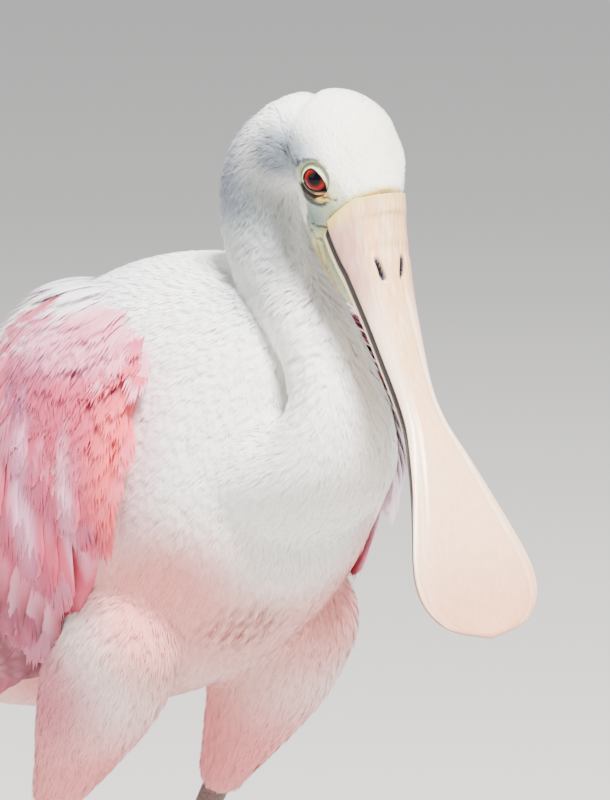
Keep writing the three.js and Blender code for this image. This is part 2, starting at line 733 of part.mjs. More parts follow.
const bird = new THREE.Group();
bird.add(
  part("torso", torsoSolid(0), FINISH.white),
  part("neck", neck, FINISH.white),
  part("head", head, FINISH.white),
  part("bill_upper", upperBill, FINISH.horn),
  part("bill_lower", lowerBill, FINISH.horn),
  part("tail", tail, FINISH.blush),
);
for (const [name, solid, finish] of [
  ["eye", eye, FINISH.iris],
  ["wing", wing, FINISH.pink],
  ["thigh", thigh, FINISH.white],
  ["shank", shank, FINISH.leg],
  ["foot", foot, FINISH.leg],
]) {
  bird.add(part(`${name}_left`, solid, finish), part(`${name}_right`, mirrored(solid), finish));
}

// The origin lies under the middle of the whole bird
const bounds = new THREE.Box3().setFromObject(bird);
const middle = bounds.getCenter(new THREE.Vector3());
bird.position.set(-middle.x, -middle.y, -bounds.min.z);

export default bird;
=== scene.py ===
"""Roseate spoonbill in its white-headed immature plumage: the looks of a still, life-size model.

Forms are worked out in the bird's own millimetres, and to_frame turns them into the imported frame's metres.
Colours are written as sRGB hex, and each mesh carries them as its Tint.
"""

import logging
import math
from dataclasses import dataclass
from enum import Enum
from typing import Callable, Sequence

import bmesh
import bpy
import numpy as np
from bmesh.types import BMesh, BMVert
from bpy.types import bpy_prop_collection, ID, Material, Mesh, Node, NodeTree, Object
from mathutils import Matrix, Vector
from mathutils.bvhtree import BVHTree
from numpy import ndarray as Array


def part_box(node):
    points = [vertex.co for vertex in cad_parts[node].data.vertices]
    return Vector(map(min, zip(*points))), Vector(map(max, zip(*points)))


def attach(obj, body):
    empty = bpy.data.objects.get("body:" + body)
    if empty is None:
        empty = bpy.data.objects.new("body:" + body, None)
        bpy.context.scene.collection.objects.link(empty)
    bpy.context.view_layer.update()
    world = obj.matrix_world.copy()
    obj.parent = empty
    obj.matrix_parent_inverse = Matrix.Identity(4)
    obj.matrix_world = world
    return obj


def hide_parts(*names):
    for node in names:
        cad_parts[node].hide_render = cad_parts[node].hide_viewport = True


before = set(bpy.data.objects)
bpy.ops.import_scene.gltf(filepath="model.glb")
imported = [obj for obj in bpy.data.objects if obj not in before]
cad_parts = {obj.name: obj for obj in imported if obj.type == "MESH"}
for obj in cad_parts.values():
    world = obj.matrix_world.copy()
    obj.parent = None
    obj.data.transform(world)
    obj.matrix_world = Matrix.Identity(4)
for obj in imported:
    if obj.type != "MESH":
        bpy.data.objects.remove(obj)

LOG = logging.getLogger("spoonbill")
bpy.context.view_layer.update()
MM = 0.001
SEED = 11
PIECE_LIMIT = 190_000  # triangles
PATCH = 0.003  # a feather's breadth in the baking map
UP = np.array([0.0, 0.0, 1.0])
LEFT = np.array([1.0, 0.0, 0.0])


class Slot(Enum):
    """The record's material slots."""

    WHITE = "white_plumage"
    PINK = "pink_plumage"
    TAIL = "tail_plumage"
    HORN = "bill_horn"
    EYE = "eye"
    LEG = "leg_skin"


class Side(Enum):
    """The two sides of the bird, as the sign of +X."""

    LEFT = 1
    RIGHT = -1

    @property
    def word(self) -> str:
        """The side as the pieces' names say it."""
        return self.name.lower()


# Maths on rows of points


def at(side: float, fore: float, up: float) -> Array:
    """A point or direction from its distance to the left, ahead of the body's middle and above the floor."""
    return np.array([side, -fore, up], float)


def unit(vectors: Array) -> Array:
    """The vectors at length one."""
    return vectors / np.maximum(np.linalg.norm(vectors, axis=-1, keepdims=True), 1e-9)


def dot(a: Array, b: Array) -> Array:
    """The dot product along the last axis."""
    return (a * b).sum(-1)


def ramp(x: Array, start: float, end: float) -> Array:
    """A smooth step from 0 at start to 1 at end, where end may be the smaller one."""
    f = np.clip((np.asarray(x, float) - start) / (end - start), 0, 1)
    return f * f * (3 - 2 * f)


def through(xs: Sequence[float], ys: Sequence, x: Array) -> Array:
    """The values at x of a smooth curve through points.

    Args:
        xs: the points' rising places.
        ys: the value, or row of values, at each place.
        x: where the curve is read. Beyond the ends it keeps its last value.

    Returns:
        One value, or row of values, for each x.
    """
    xs, ys = np.asarray(xs, float), np.asarray(ys, float)
    x = np.clip(np.asarray(x, float), xs[0], xs[-1])
    last = len(xs) - 1
    i = np.clip(np.searchsorted(xs, x, side="left") - 1, 0, last - 1)
    before = np.maximum(np.arange(last + 1) - 1, 0)
    after = np.minimum(np.arange(last + 1) + 1, last)
    rows = (slice(None),) + (None,) * (ys.ndim - 1)
    slopes = (ys[after] - ys[before]) / (xs[after] - xs[before])[rows]
    spread = (...,) + (None,) * (ys.ndim - 1)
    run = (xs[i + 1] - xs[i])[spread]
    f = ((x - xs[i]) / (xs[i + 1] - xs[i]))[spread]
    enter, leave = slopes[i] * run, slopes[i + 1] * run
    bend = 2 * (ys[i] - ys[i + 1]) + enter + leave
    lift = 3 * (ys[i + 1] - ys[i]) - 2 * enter - leave
    return ((bend * f + lift) * f + enter) * f + ys[i]


def ripple(points: Array, size: float, seed: int = 0) -> Array:
    """Soft random waves of about one size over space, from -1 to 1.

    Args:
        points: places in mm.
        size: the waves' length in mm.
        seed: which waves.
    """
    rng = np.random.default_rng(SEED + seed)
    total = np.zeros(points.shape[:-1])
    for _ in range(6):
        way = unit(rng.normal(size=3)) * 2 * math.pi / size * rng.uniform(0.7, 1.5)
        total += np.sin(points @ way + rng.uniform(0, 2 * math.pi))
    return total / 4


def linear(code: str) -> Array:
    """A colour written as sRGB hex, turned to linear light."""
    srgb = np.array([int(code[i : i + 2], 16) for i in (1, 3, 5)]) / 255
    return np.where(srgb <= 0.04045, srgb / 12.92, ((srgb + 0.055) / 1.055) ** 2.4)


# The bird's own forms


@dataclass(frozen=True)
class Station:
    """A section of a form: its centre and the half sizes to the side, over the line and under it."""

    centre: Array
    side: float
    over: float
    under: float


class Form:
    """A rounded form along a line through stations, closed at both ends by quarter ellipses."""

    def __init__(
        self, stations: Sequence[Station], caps: tuple[float, float], power: float = 2.0, dorsal: Array = UP,
        across: Array | None = None,
    ) -> None:
        """Keeps the stations as rows of numbers.

        Args:
            stations: the sections, from the start of the line to its end.
            caps: how far each end takes to close.
            power: 2 makes elliptical sections and more makes them squarer.
            dorsal: the direction that is over the line.
            across: the direction to the side, for a line that turns right round.
        """
        self.centres = np.array([s.centre for s in stations])
        self.sizes = np.array([(s.side, s.over, s.under) for s in stations])
        steps = np.linalg.norm(np.diff(self.centres, axis=0), axis=1)
        self.places = np.concatenate([[0.0], np.cumsum(steps)])
        self.length = float(self.places[-1])
        self.caps, self.power, self.dorsal, self.across = caps, power, dorsal, across

    def centre(self, place: Array) -> Array:
        """Points of the line."""
        return through(self.places, self.centres, place)

    def closing(self, place: Array) -> Array:
        """How much of the section's size is left, by the rounding of the ends."""
        near = np.clip(place / self.caps[0], 0, 1)
        far = np.clip((self.length - place) / self.caps[1], 0, 1)
        return np.sqrt(1 - (1 - near) ** 2) * np.sqrt(1 - (1 - far) ** 2)

    def axes(self, place: Array) -> tuple[Array, Array, Array]:
        """The directions along the line, over it and to its side."""
        step = self.length * 0.01
        ahead = self.centre(np.minimum(place + step, self.length))
        along = unit(ahead - self.centre(np.maximum(place - step, 0)))
        if self.across is None:
            over = unit(self.dorsal - (along @ self.dorsal)[..., None] * along)
        else:
            over = np.cross(along, self.across)
        return along, over, np.cross(along, over)

    def surface(self, place: Array, angle: Array, lift: Array | float = 0.0) -> Array:
        """Points of the skin.

        Args:
            place: distance along the line.
            angle: from over the line, 0, towards the side, in radians.
            lift: how far the sections are grown.
        """
        _, over, side = self.axes(place)
        sizes = through(self.places, self.sizes, place) * self.closing(place)[..., None]
        rise, swing = np.cos(angle), np.sin(angle)
        depth = np.where(rise > 0, sizes[..., 1], sizes[..., 2])
        depth = np.maximum(depth + lift, depth * 0.1)
        width = np.maximum(sizes[..., 0] + lift, sizes[..., 0] * 0.1)
        rise = np.sign(rise) * np.abs(rise) ** (2 / self.power)
        swing = np.sign(swing) * np.abs(swing) ** (2 / self.power)
        return self.centre(place) + over * (depth * rise)[..., None] + side * (width * swing)[..., None]

    def guide(self, count: int, start: float = 0.0, end: float = 1.0) -> tuple[Array, Array, Array]:
        """Points along the line with their tangents and mean half sizes, between two shares of its length."""
        place = np.linspace(start, end, count) * self.length
        radius = through(self.places, self.sizes, place).mean(-1)
        return self.centre(place), self.axes(place)[0], radius


def pitched(degrees: float) -> tuple[Array, Array]:
    """The directions along and over a line that rises forwards by the given degrees."""
    turn = math.radians(degrees)
    return at(0, math.cos(turn), math.sin(turn)), at(0, -math.sin(turn), math.cos(turn))


@dataclass(frozen=True)
class Anatomy:
    """The bird's driving sizes and forms, in millimetres and degrees, as its solids have them."""

    body_height: float = 268.0
    body_pitch: float = 38.0
    bill_length: float = 158.0
    bill_pitch: float = 68.5
    bill_root: tuple[float, float] = (146.5, 385.0)
    gape_opening: float = 0.6
    eye_radius: float = 6.6
    eye_side: float = 13.7
    eye_place: tuple[float, float] = (-9.8, -15.5)
    eye_turn: float = 20.0
    mouth_corner: tuple[float, float] = (7.0, -23.0)
    knee: tuple[float, float, float] = (38.0, 38.0, 212.0)
    thigh_end: tuple[float, float, float] = (37.0, 0.0, 152.0)
    heel: tuple[float, float, float] = (36.0, -20.0, 120.0)
    foot: tuple[float, float, float] = (34.0, 12.0, 12.0)

    @property
    def body_axes(self) -> tuple[Array, Array]:
        """Directions along the trunk, up to the breast, and over it."""
        return pitched(self.body_pitch)

    @property
    def bill_axes(self) -> tuple[Array, Array]:
        """Directions along the bill and over it."""
        return pitched(-self.bill_pitch)

    def on_trunk(self, back: float, rise: float, side: float = 0.0) -> Array:
        """A point from its distance behind the body's middle, over its line and to the left."""
        along, over = self.body_axes
        return at(side, 0, self.body_height) - along * back + over * rise

    def on_head(self, side: float, ahead: float, over: float) -> Array:
        """A point from its distance to the left, ahead of the forehead's feather line and over it."""
        forward, upward = self.bill_axes
        return at(side, *self.bill_root) + forward * ahead + upward * over

    def head_place(self, points: Array) -> tuple[Array, Array]:
        """How far points are ahead of the feather line and over it."""
        forward, upward = self.bill_axes
        away = points - at(0, *self.bill_root)
        return away @ forward, away @ upward

    def trunk_place(self, points: Array) -> tuple[Array, Array]:
        """How far points are behind the body's middle and over its line."""
        along, over = self.body_axes
        away = points - at(0, 0, self.body_height)
        return -(away @ along), away @ over

    def trunk(self, rows: Sequence[Sequence[float]], caps: tuple[float, float], power: float) -> Form:
        """A form along the trunk, from rows of place behind the middle, rise, side, over and under."""
        stations = [Station(self.on_trunk(back, rise), *sizes) for back, rise, *sizes in rows]
        return Form(stations, caps, power, self.body_axes[1])

    def on_bill(self, rows: Sequence[Sequence[float]], caps: tuple[float, float], power: float = 2.0) -> Form:
        """A form along the bill's line, from rows of place ahead, rise, side, over and under."""
        stations = [Station(self.on_head(0, ahead, rise), *sizes) for ahead, rise, *sizes in rows]
        return Form(stations, caps, power, self.bill_axes[1])

    def nape(self) -> Form:
        """The feathered fill between the back of the head and the top of the neck."""
        rows = [(85, 393, 14, 15.4), (97, 394.5, 16, 18.2), (109, 395.5, 15.5, 19.4)]
        stations = [Station(at(0, fore, up), side, over, 12) for fore, up, side, over in rows]
        return Form(stations, (9, 9))

    def torso(self) -> Form:
        """The trunk, from the breast to the rump."""
        rows = [
            (-112, 4, 50, 42, 56), (-80, 2, 60, 52, 74), (-40, 0, 66, 57, 84), (0, 0, 66, 56, 82),
            (45, 2, 58, 48, 68), (90, 6, 43, 35, 46), (125, 10, 30, 23, 27), (150, 12, 24, 16, 18),
        ]
        return self.trunk(rows, (62, 40), 2.15)

    def flank(self) -> Form:
        """The surface of the folded wings, which runs on past the rump to the wing tips."""
        rows = [
            (FLANK_FRONT, 4, 55, 47, 62), (-80, 2, 67, 58, 80), (-40, 0, 73, 63, 90), (0, 0, 73, 61, 88),
            (45, 2, 65, 54, 74), (90, 6, 51, 42, 54), (130, 10, 39, 32, 37), (170, 13, 30, 25, 27),
            (215, 14, 22, 19, 19), (264, 14, 14, 13, 12),
        ]
        return self.trunk(rows, (66, 0.01), 2.1)

    def tail_base(self) -> Form:
        """The root of the tail."""
        return self.trunk([(132, 9, 22, 12, 14), (156, 8, 20, 8, 10), (184, 6, 15, 4, 5)], (4, 14), 2.0)

    def head(self) -> Form:
        """The skull, behind the face plane."""
        rows = [
            (-41, -23.5, 13.5, 13.5, 17), (-33, -21.5, 17.5, 17.2, 20), (-23, -19.8, 20, 18.9, 20),
            (-12, -18.8, 20, 18.3, 19), (0, -17.6, 16.2, 16.4, 16.5), (10, -18, 15, 14, 15),
            (20, -19, 12, 9, 11),
        ]
        return self.on_bill(rows, (20, 12))

    def throat(self) -> Form:
        """The bare skin under the root of the lower bill."""
        rows = [
            (-26, -25, 13, 9, 9), (-6, -28, 14, 9, 11.5), (12, -28.5, 13.4, 5, 9.8), (27, -24.5, 11, 3, 8),
            (40, -20.5, 6.5, 2, 4.5),
        ]
        return self.on_bill(rows, (14, 8))

    def neck(self) -> Form:
        """The neck, from the back of the head in a deep bend down to the breast."""
        rows = [
            (118, 396.5, 18, 19, 15), (102, 396.2, 19.2, 17.6, 16), (87, 388, 19.3, 18, 17),
            (80, 371, 18, 18, 17), (85, 354, 17, 17, 16), (99, 339, 15.5, 16, 14), (112, 323, 16, 16, 14),
            (119, 305, 20, 18, 16), (113, 288, 28, 22, 20), (93, 279, 35, 26, 24), (66, 276, 32, 22, 22),
        ]
        stations = [Station(at(0, fore, up), *sizes) for fore, up, *sizes in rows]
        return Form(stations, (16, 24), across=-LEFT)

    def limb(self, rows: Sequence[tuple], caps: tuple[float, float]) -> Form:
        """A form down the left leg, from rows of place, side, fore and back sizes."""
        return Form([Station(at(*place), *sizes) for place, *sizes in rows], caps, dorsal=at(0, 1, 0))

    def thigh(self) -> Form:
        """The left thigh."""
        rows = [
            (between(self.thigh_end, self.knee, f), *sizes)
            for f, *sizes in (
                (1.5, 20, 23, 23), (1.2, 23, 27, 26), (0.85, 22, 26, 24), (0.5, 16.5, 19, 18),
                (0.2, 10.5, 12, 12),
            )
        ]
        return self.limb([*rows, (self.thigh_end, 8, 8.5, 9)], (20, 7))

    def shank(self) -> Form:
        """The left leg's bare part, with the heel joint."""
        rows = [
            (between(self.thigh_end, self.knee, 0.1), 4.6, 5, 5),
            (between(self.heel, self.thigh_end, 0.4), 4.4, 4.8, 5),
            (self.heel, 6.4, 6.6, 7.4),
            (between(self.heel, self.foot, 0.14), 4.6, 5.2, 5.4),
            (between(self.heel, self.foot, 0.5), 3.9, 4.4, 4.4),
            (between(self.heel, self.foot, 0.9), 4.4, 5, 5),
            (self.foot, 6, 6.5, 6),
        ]
        return self.limb(rows, (1, 3))

    def eye_centre(self, side: Side) -> Array:
        """The middle of an eyeball."""
        return self.on_head(side.value * self.eye_side, *self.eye_place)

    def eye_looks(self, side: Side) -> Array:
        """The direction in which an eye looks."""
        turn = math.radians(self.eye_turn)
        forward, upward = self.bill_axes
        return unit(LEFT * side.value * math.cos(turn) + (forward + upward) * math.sin(turn) * math.sqrt(0.5))

    def face_plane(self) -> tuple[Array, Array]:
        """A point and the forward direction of the plane in which the face's feathers end."""
        forward, upward = self.bill_axes
        ahead, over = self.mouth_corner
        return at(0, *self.bill_root), unit(forward * -over + upward * ahead)


def between(a: Sequence[float], b: Sequence[float], f: float) -> tuple[float, ...]:
    """The place at share f of the way from a to b."""
    return tuple(x + (y - x) * f for x, y in zip(a, b))


FLANK_FRONT = -118.0
BIRD = Anatomy()


def find_shift() -> Array:
    """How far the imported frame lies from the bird's own, from the middles of both eyes."""
    low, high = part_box("eye_right")
    other_low, other_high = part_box("eye_left")
    found = (np.array(low) + np.array(high) + np.array(other_low) + np.array(other_high)) / 4 / MM
    meant = (BIRD.eye_centre(Side.LEFT) + BIRD.eye_centre(Side.RIGHT)) / 2
    return found - meant


SHIFT = find_shift()


def to_frame(points: Array) -> Array:
    """Millimetres of the bird's own frame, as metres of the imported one."""
    return (points + SHIFT) * MM


def to_bird(points: Array) -> Array:
    """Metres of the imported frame, as millimetres of the bird's own."""
    return points / MM - SHIFT


# Meshes


def gathered(items: bpy_prop_collection, key: str, width: int, kind: type = float) -> Array:
    """One attribute of all items of a mesh, as rows."""
    rows = np.zeros(len(items) * width, kind)
    items.foreach_get(key, rows)
    return rows.reshape(-1, width)


def coordinates(mesh: Mesh) -> Array:
    """A mesh's vertices as rows, in the bird's millimetres."""
    return to_bird(gathered(mesh.vertices, "co", 3))


def reshape(mesh: Mesh, points: Array) -> None:
    """Moves a mesh's vertices to points in the bird's millimetres."""
    mesh.vertices.foreach_set("co", to_frame(points).astype(np.float32).ravel())
    mesh.update()


def move(vertices: Sequence[BMVert], points: Array) -> None:
    """Moves a bmesh's vertices to points in the bird's millimetres."""
    for vertex, place in zip(vertices, to_frame(points)):
        vertex.co = place


def spots(bm: BMesh) -> Array:
    """A bmesh's vertices as rows, as they stand."""
    return np.array([v.co for v in bm.verts])


def paint(mesh: Mesh, name: str, colours: Array) -> None:
    """Gives a mesh a colour for each vertex."""
    rows = np.ones((len(colours), 4), np.float32)
    rows[:, :3] = np.clip(colours, 0, 1)
    mesh.color_attributes.new(name, "FLOAT_COLOR", "POINT").data.foreach_set("color", rows.ravel())


def linked(name: str, data: ID) -> Object:
    """A new object in the scene."""
    thing = bpy.data.objects.new(name, data)
    bpy.context.scene.collection.objects.link(thing)
    return thing


def placed(name: str, mesh: Mesh, material: Material) -> Object:
    """Puts a mesh in the scene as a piece that rides on the bird.

    Args:
        name: the piece's name.
        mesh: its mesh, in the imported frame.
        material: its finish.

    Returns:
        The new object, at the origin.
    """
    mesh.name = name
    mesh.materials.append(material)
    piece = linked(name, mesh)
    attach(piece, "root")
    LOG.info("%s: %d faces", name, len(mesh.polygons))
    return piece


def sphere_on(form: Form, around: int, along: int, grow: float = 0.0) -> BMesh:
    """A closed skin of a form, made from a sphere whose rings move to the form's sections.

    Args:
        form: the form.
        around: segments round a section.
        along: rings along the line.
        grow: how far the sections are grown.
    """
    bm = bmesh.new()
    bmesh.ops.create_uvsphere(bm, u_segments=around, v_segments=along, radius=1.0)
    x, y, z = spots(bm).T
    place = (1 - np.clip(z, -1, 1)) / 2 * form.length
    move(bm.verts, form.surface(place, np.arctan2(y, x), grow))
    bmesh.ops.recalc_face_normals(bm, faces=bm.faces)
    return bm


def cut_at_face(bm: BMesh, back: float, **cleared: bool) -> None:
    """Cuts a bmesh some mm behind the plane in which the face's feathers end, and closes the cut."""
    point, ahead = BIRD.face_plane()
    everything = list(bm.verts) + list(bm.edges) + list(bm.faces)
    place = Vector(to_frame(point - ahead * back))
    bmesh.ops.bisect_plane(bm, geom=everything, plane_co=place, plane_no=Vector(ahead), **cleared)
    bmesh.ops.holes_fill(bm, edges=[e for e in bm.edges if e.is_boundary])


def mesh_of(bm: BMesh, mirror: bool = False) -> Mesh:
    """The mesh of a bmesh, which is freed. It may be turned to the bird's other side."""
    if mirror:
        bmesh.ops.scale(bm, vec=(-1, 1, 1), verts=bm.verts)
    bmesh.ops.recalc_face_normals(bm, faces=bm.faces)
    mesh = bpy.data.meshes.new("made")
    bm.to_mesh(mesh)
    bm.free()
    mesh.shade_smooth()
    return mesh


def fused(meshes: Sequence[Mesh], voxel: float, smoothing: int) -> Mesh:
    """Closed meshes grown together into one even skin.

    Args:
        meshes: what is joined. They are removed.
        voxel: the skin's grain in mm.
        smoothing: rounds of smoothing after it.
    """
    bm = bmesh.new()
    for mesh in meshes:
        bm.from_mesh(mesh)
        bpy.data.meshes.remove(mesh)
    whole = bpy.data.meshes.new("fused")
    bm.to_mesh(whole)
    bm.free()
    maker = linked("fused", whole)
    remesh = maker.modifiers.new("grain", "REMESH")
    remesh.mode, remesh.voxel_size = "VOXEL", voxel * MM
    smooth = maker.modifiers.new("smooth", "SMOOTH")
    smooth.factor, smooth.iterations = 0.5, smoothing
    graph = bpy.context.evaluated_depsgraph_get()
    made = bpy.data.meshes.new_from_object(maker.evaluated_get(graph))
    bpy.data.objects.remove(maker)
    bpy.data.meshes.remove(whole)
    made.shade_smooth()
    return made


@dataclass
class Joined:
    """Many small closed things in one mesh: points, triangles, colours, baking places and shading normals."""

    points: Array
    triangles: Array
    colours: Array
    bake: Array
    normals: Array | None = None
    vane: Array | None = None

    def mesh(self) -> Mesh:
        """The mesh, with its colour attribute and UV maps."""
        made = bpy.data.meshes.new("made")
        made.vertices.add(len(self.points))
        made.vertices.foreach_set("co", to_frame(self.points).astype(np.float32).ravel())
        loops = self.triangles.astype(np.int32).ravel()
        made.loops.add(len(loops))
        made.loops.foreach_set("vertex_index", loops)
        made.polygons.add(len(self.triangles))
        made.polygons.foreach_set("loop_start", np.arange(0, len(loops), 3, dtype=np.int32))
        made.update(calc_edges=True)
        made.shade_smooth()
        for layer, rows in (("OFBake", self.bake), ("Vane", self.vane)):
            if rows is not None:
                made.uv_layers.new(name=layer).data.foreach_set("uv", rows[loops].astype(np.float32).ravel())
        paint(made, "Tint", self.colours)
        if self.normals is not None:
            a, b, c = (self.points[self.triangles[:, k]] for k in range(3))
            corners = self.normals[self.triangles]
            outwards = dot(np.cross(b - a, c - a), corners.mean(1)) > 0
            corners = corners * np.where(outwards, 1.0, -1.0)[:, None, None]
            made.normals_split_custom_set(corners.reshape(-1, 3).astype(np.float32))
        return made

    def mirrored(self) -> "Joined":
        """The same on the bird's other side."""
        over = np.array((-1, 1, 1))
        normals = None if self.normals is None else self.normals * over
        flipped = self.triangles[:, ::-1]
        return Joined(self.points * over, flipped, self.colours, self.bake, normals, self.vane)


def join(parts: Sequence[Joined]) -> Joined:
    """Several joined things as one."""
    offsets = np.cumsum([0] + [len(p.points) for p in parts])
    triangles = np.concatenate([p.triangles + o for p, o in zip(parts, offsets)])

    def stack(name: str) -> Array | None:
        """One field of all the parts."""
        rows = [getattr(p, name) for p in parts]
        return None if rows[0] is None else np.concatenate(rows)

    return Joined(stack("points"), triangles, *map(stack, ("colours", "bake", "normals", "vane")))


# The skin and the lie of the coat


class Part(Enum):
    """The parts of the body that the coat's sizes follow."""

    HEAD = 0
    NECK = 1
    TORSO = 2
    THIGH = 3


class Lie:
    """The way in which the feathers lie, blended from lines inside the body."""

    def __init__(self) -> None:
        """Reads the guide lines off the forms."""
        forward, _ = BIRD.bill_axes
        head, _, head_radius = BIRD.head().guide(12, 0.0, 0.95)
        neck, neck_way, neck_radius = BIRD.neck().guide(40)
        torso, torso_way, torso_radius = BIRD.torso().guide(40)
        thigh, thigh_way, thigh_radius = BIRD.thigh().guide(20, 0.1)
        rows = [
            (head, np.tile(-forward, (len(head), 1)), head_radius, Part.HEAD),
            (neck, neck_way, neck_radius, Part.NECK),
            (torso, unit(torso_way - 0.3 * UP), torso_radius, Part.TORSO),
            (thigh, thigh_way, thigh_radius, Part.THIGH),
            (thigh * (-1, 1, 1), thigh_way * (-1, 1, 1), thigh_radius, Part.THIGH),
        ]
        self.points = np.concatenate([r[0] for r in rows])
        self.ways = np.concatenate([r[1] for r in rows])
        self.radii = np.concatenate([r[2] for r in rows])
        self.parts = np.concatenate([np.full(len(r[0]), r[3].value) for r in rows])

    def read(self, points: Array) -> tuple[Array, Array]:
        """The unflattened lie at points, and the share of each part there.

        Args:
            points: places in mm.

        Returns:
            A direction for each point, and one column for each part.
        """
        ways = np.zeros((len(points), 3))
        shares = np.zeros((len(points), len(Part)))
        for start in range(0, len(points), 20_000):
            some = slice(start, start + 20_000)
            away = np.linalg.norm(points[some, None] - self.points[None], axis=-1) / self.radii
            weight = 1 / (away**8 + 1e-4)
            weight /= weight.sum(1, keepdims=True)
            ways[some] = weight @ self.ways
            for part in Part:
                shares[some, part.value] = weight[:, self.parts == part.value].sum(1)
        return ways, shares


@dataclass
class Roots:
    """Where feathers grow: places on the skin, with the normals and baking places there."""

    points: Array
    normals: Array
    bake: Array


@dataclass
class Skin:
    """The one skin of torso, neck, head and thighs, which lies under the coat."""

    voxel: float = 1.7
    smoothing: int = 10
    depths: tuple[float, float, float, float] = (1.1, 1.8, 2.6, 2.4)
    socket_radius: float = 5.9
    socket_depth: float = 4.2
    fine_middle: tuple[float, float, float] = (0, -4, -18)
    fine_reach: float = 30.0
    cell: float = 4.0
    mesh: Mesh | None = None

    def build(self) -> "Skin":
        """Grows the skin from the forms, carves the face and unwraps it."""
        head, neck, torso, thigh = self.depths
        skull = sphere_on(BIRD.head(), 64, 48, -head)
        cut_at_face(skull, 0.5, clear_outer=True)
        meshes = [
            mesh_of(skull),
            mesh_of(sphere_on(BIRD.nape(), 40, 32)),
            mesh_of(sphere_on(BIRD.throat(), 40, 32, -0.2)),
            mesh_of(sphere_on(BIRD.neck(), 64, 80, -neck)),
            mesh_of(sphere_on(BIRD.torso(), 96, 80, -torso)),
            mesh_of(sphere_on(BIRD.thigh(), 48, 40, -thigh)),
            mesh_of(sphere_on(BIRD.thigh(), 48, 40, -thigh), mirror=True),
        ]
        self.mesh = fused(meshes, self.voxel, self.smoothing)
        self.refine_face()
        self.carve()
        self.unwrap()
        return self

    def refine_face(self) -> None:
        """Makes the grain finer round the eyes and the corners of the mouth."""
        bm = bmesh.new()
        bm.from_mesh(self.mesh)
        middle, reach = Vector(to_frame(BIRD.on_head(*self.fine_middle))), self.fine_reach * MM
        near = [e for e in bm.edges if (e.verts[0].co - middle).length < reach]
        bmesh.ops.subdivide_edges(bm, edges=near, cuts=1, use_grid_fill=True)
        around = [v for v in bm.verts if (v.co - middle).length < reach * 1.1]
        axes = dict.fromkeys(("use_axis_x", "use_axis_y", "use_axis_z"), True)
        bmesh.ops.smooth_vert(bm, verts=around, factor=0.5, **axes)
        bm.to_mesh(self.mesh)
        bm.free()
        self.mesh.shade_smooth()

    def carve(self) -> None:
        """Sinks the eye sockets, raises the bare rims round them and folds the throat."""
        points = coordinates(self.mesh)
        for side in Side:
            looks, centre = BIRD.eye_looks(side), Eye(side).centre
            away = points - centre
            height = away @ looks
            radius = np.linalg.norm(away - height[:, None] * looks, axis=1)
            facing = height > 0
            sink = self.socket_depth * ramp(radius, self.socket_radius + 0.9, self.socket_radius - 1.2)
            rim = 1.2 * ramp(radius, 4.8, 6.6) * ramp(radius, 15, 7)
            fold = 0.16 * np.sin(radius * 4.2) * ramp(radius, 9.5, 10.5) * ramp(radius, 15, 12)
            points += looks * ((rim + fold - sink) * facing)[:, None]
        ahead, over = BIRD.head_place(points)
        gular = ramp(ahead, -14, -4) * ramp(over, -24, -28)
        points[:, 0] += 0.35 * np.sin(over * 2.6) * gular * np.sign(points[:, 0])
        reshape(self.mesh, points)

    def unwrap(self) -> None:
        """Unfolds the skin's own shape into the baking map."""
        maker = linked("unwrapping", self.mesh)
        bpy.context.view_layer.objects.active = maker
        maker.select_set(True)
        self.mesh.uv_layers.new(name="OFBake")
        bpy.ops.object.mode_set(mode="EDIT")
        bpy.ops.mesh.select_all(action="SELECT")
        bpy.ops.uv.smart_project(angle_limit=math.radians(66), island_margin=0.003)
        bpy.ops.object.mode_set(mode="OBJECT")
        bpy.data.objects.remove(maker)

    def read(self) -> None:
        """Keeps the skin's triangles, normals and unwrap as rows, and its search tree."""
        mesh = self.mesh
        mesh.calc_loop_triangles()
        points = coordinates(mesh)
        corners, loops = (gathered(mesh.loop_triangles, key, 3, int) for key in ("vertices", "loops"))
        self.corners = points[corners]
        self.corner_normals = gathered(mesh.vertices, "normal", 3)[corners]
        self.corner_uv = gathered(mesh.uv_layers["OFBake"].data, "uv", 2)[loops]
        self.triangle_normals = unit(self.corner_normals.mean(1))
        self.tree = BVHTree.FromPolygons(points.tolist(), corners.tolist(), all_triangles=True)

    def scatter(self, room: Array, seed: int) -> Roots:
        """Spreads roots evenly over the skin.

        Args:
            room: the area in square mm that one feather has on each triangle, 0 where none grow.
            seed: the random draw.
        """
        rng = np.random.default_rng(SEED + seed)
        middle = self.corners.mean(1)
        a, b = self.corners[:, 1] - self.corners[:, 0], self.corners[:, 2] - self.corners[:, 0]
        area = np.linalg.norm(np.cross(a, b), axis=1) / 2
        weight = np.where(room > 0, area / np.maximum(room, 1e-6), 0)
        # Roots are drawn along an order in which neighbouring cells of the skin follow each other
        cell = ((middle - middle.min(0)) / self.cell).astype(np.int64)
        code = np.zeros(len(cell), np.int64)
        for bit in range(8):
            for axis in range(3):
                code |= ((cell[:, axis] >> bit) & 1) << (3 * bit + axis)
        order = np.argsort(code, kind="stable")
        total = np.cumsum(weight[order])
        count = int(total[-1])
        wanted = (np.arange(count) + rng.uniform(0, 1, count)) * (total[-1] / max(count, 1))
        chosen = order[np.minimum(np.searchsorted(total, wanted), len(order) - 1)]
        u, v = rng.uniform(0, 1, (2, count))
        flip = u + v > 1
        u, v = np.where(flip, 1 - u, u), np.where(flip, 1 - v, v)
        share = np.stack([1 - u - v, u, v], 1)[..., None]
        return Roots(
            (self.corners[chosen] * share).sum(1),
            unit((self.corner_normals[chosen] * share).sum(1)),
            (self.corner_uv[chosen] * share).sum(1),
        )

    def nearest(self, points: Array) -> tuple[Array, Array]:
        """The nearest places on the skin and the normals there."""
        found = [self.tree.find_nearest(p) for p in points.tolist()]
        places = np.array([f[0] for f in found])
        return places, self.triangle_normals[[f[2] for f in found]]


# Feathers


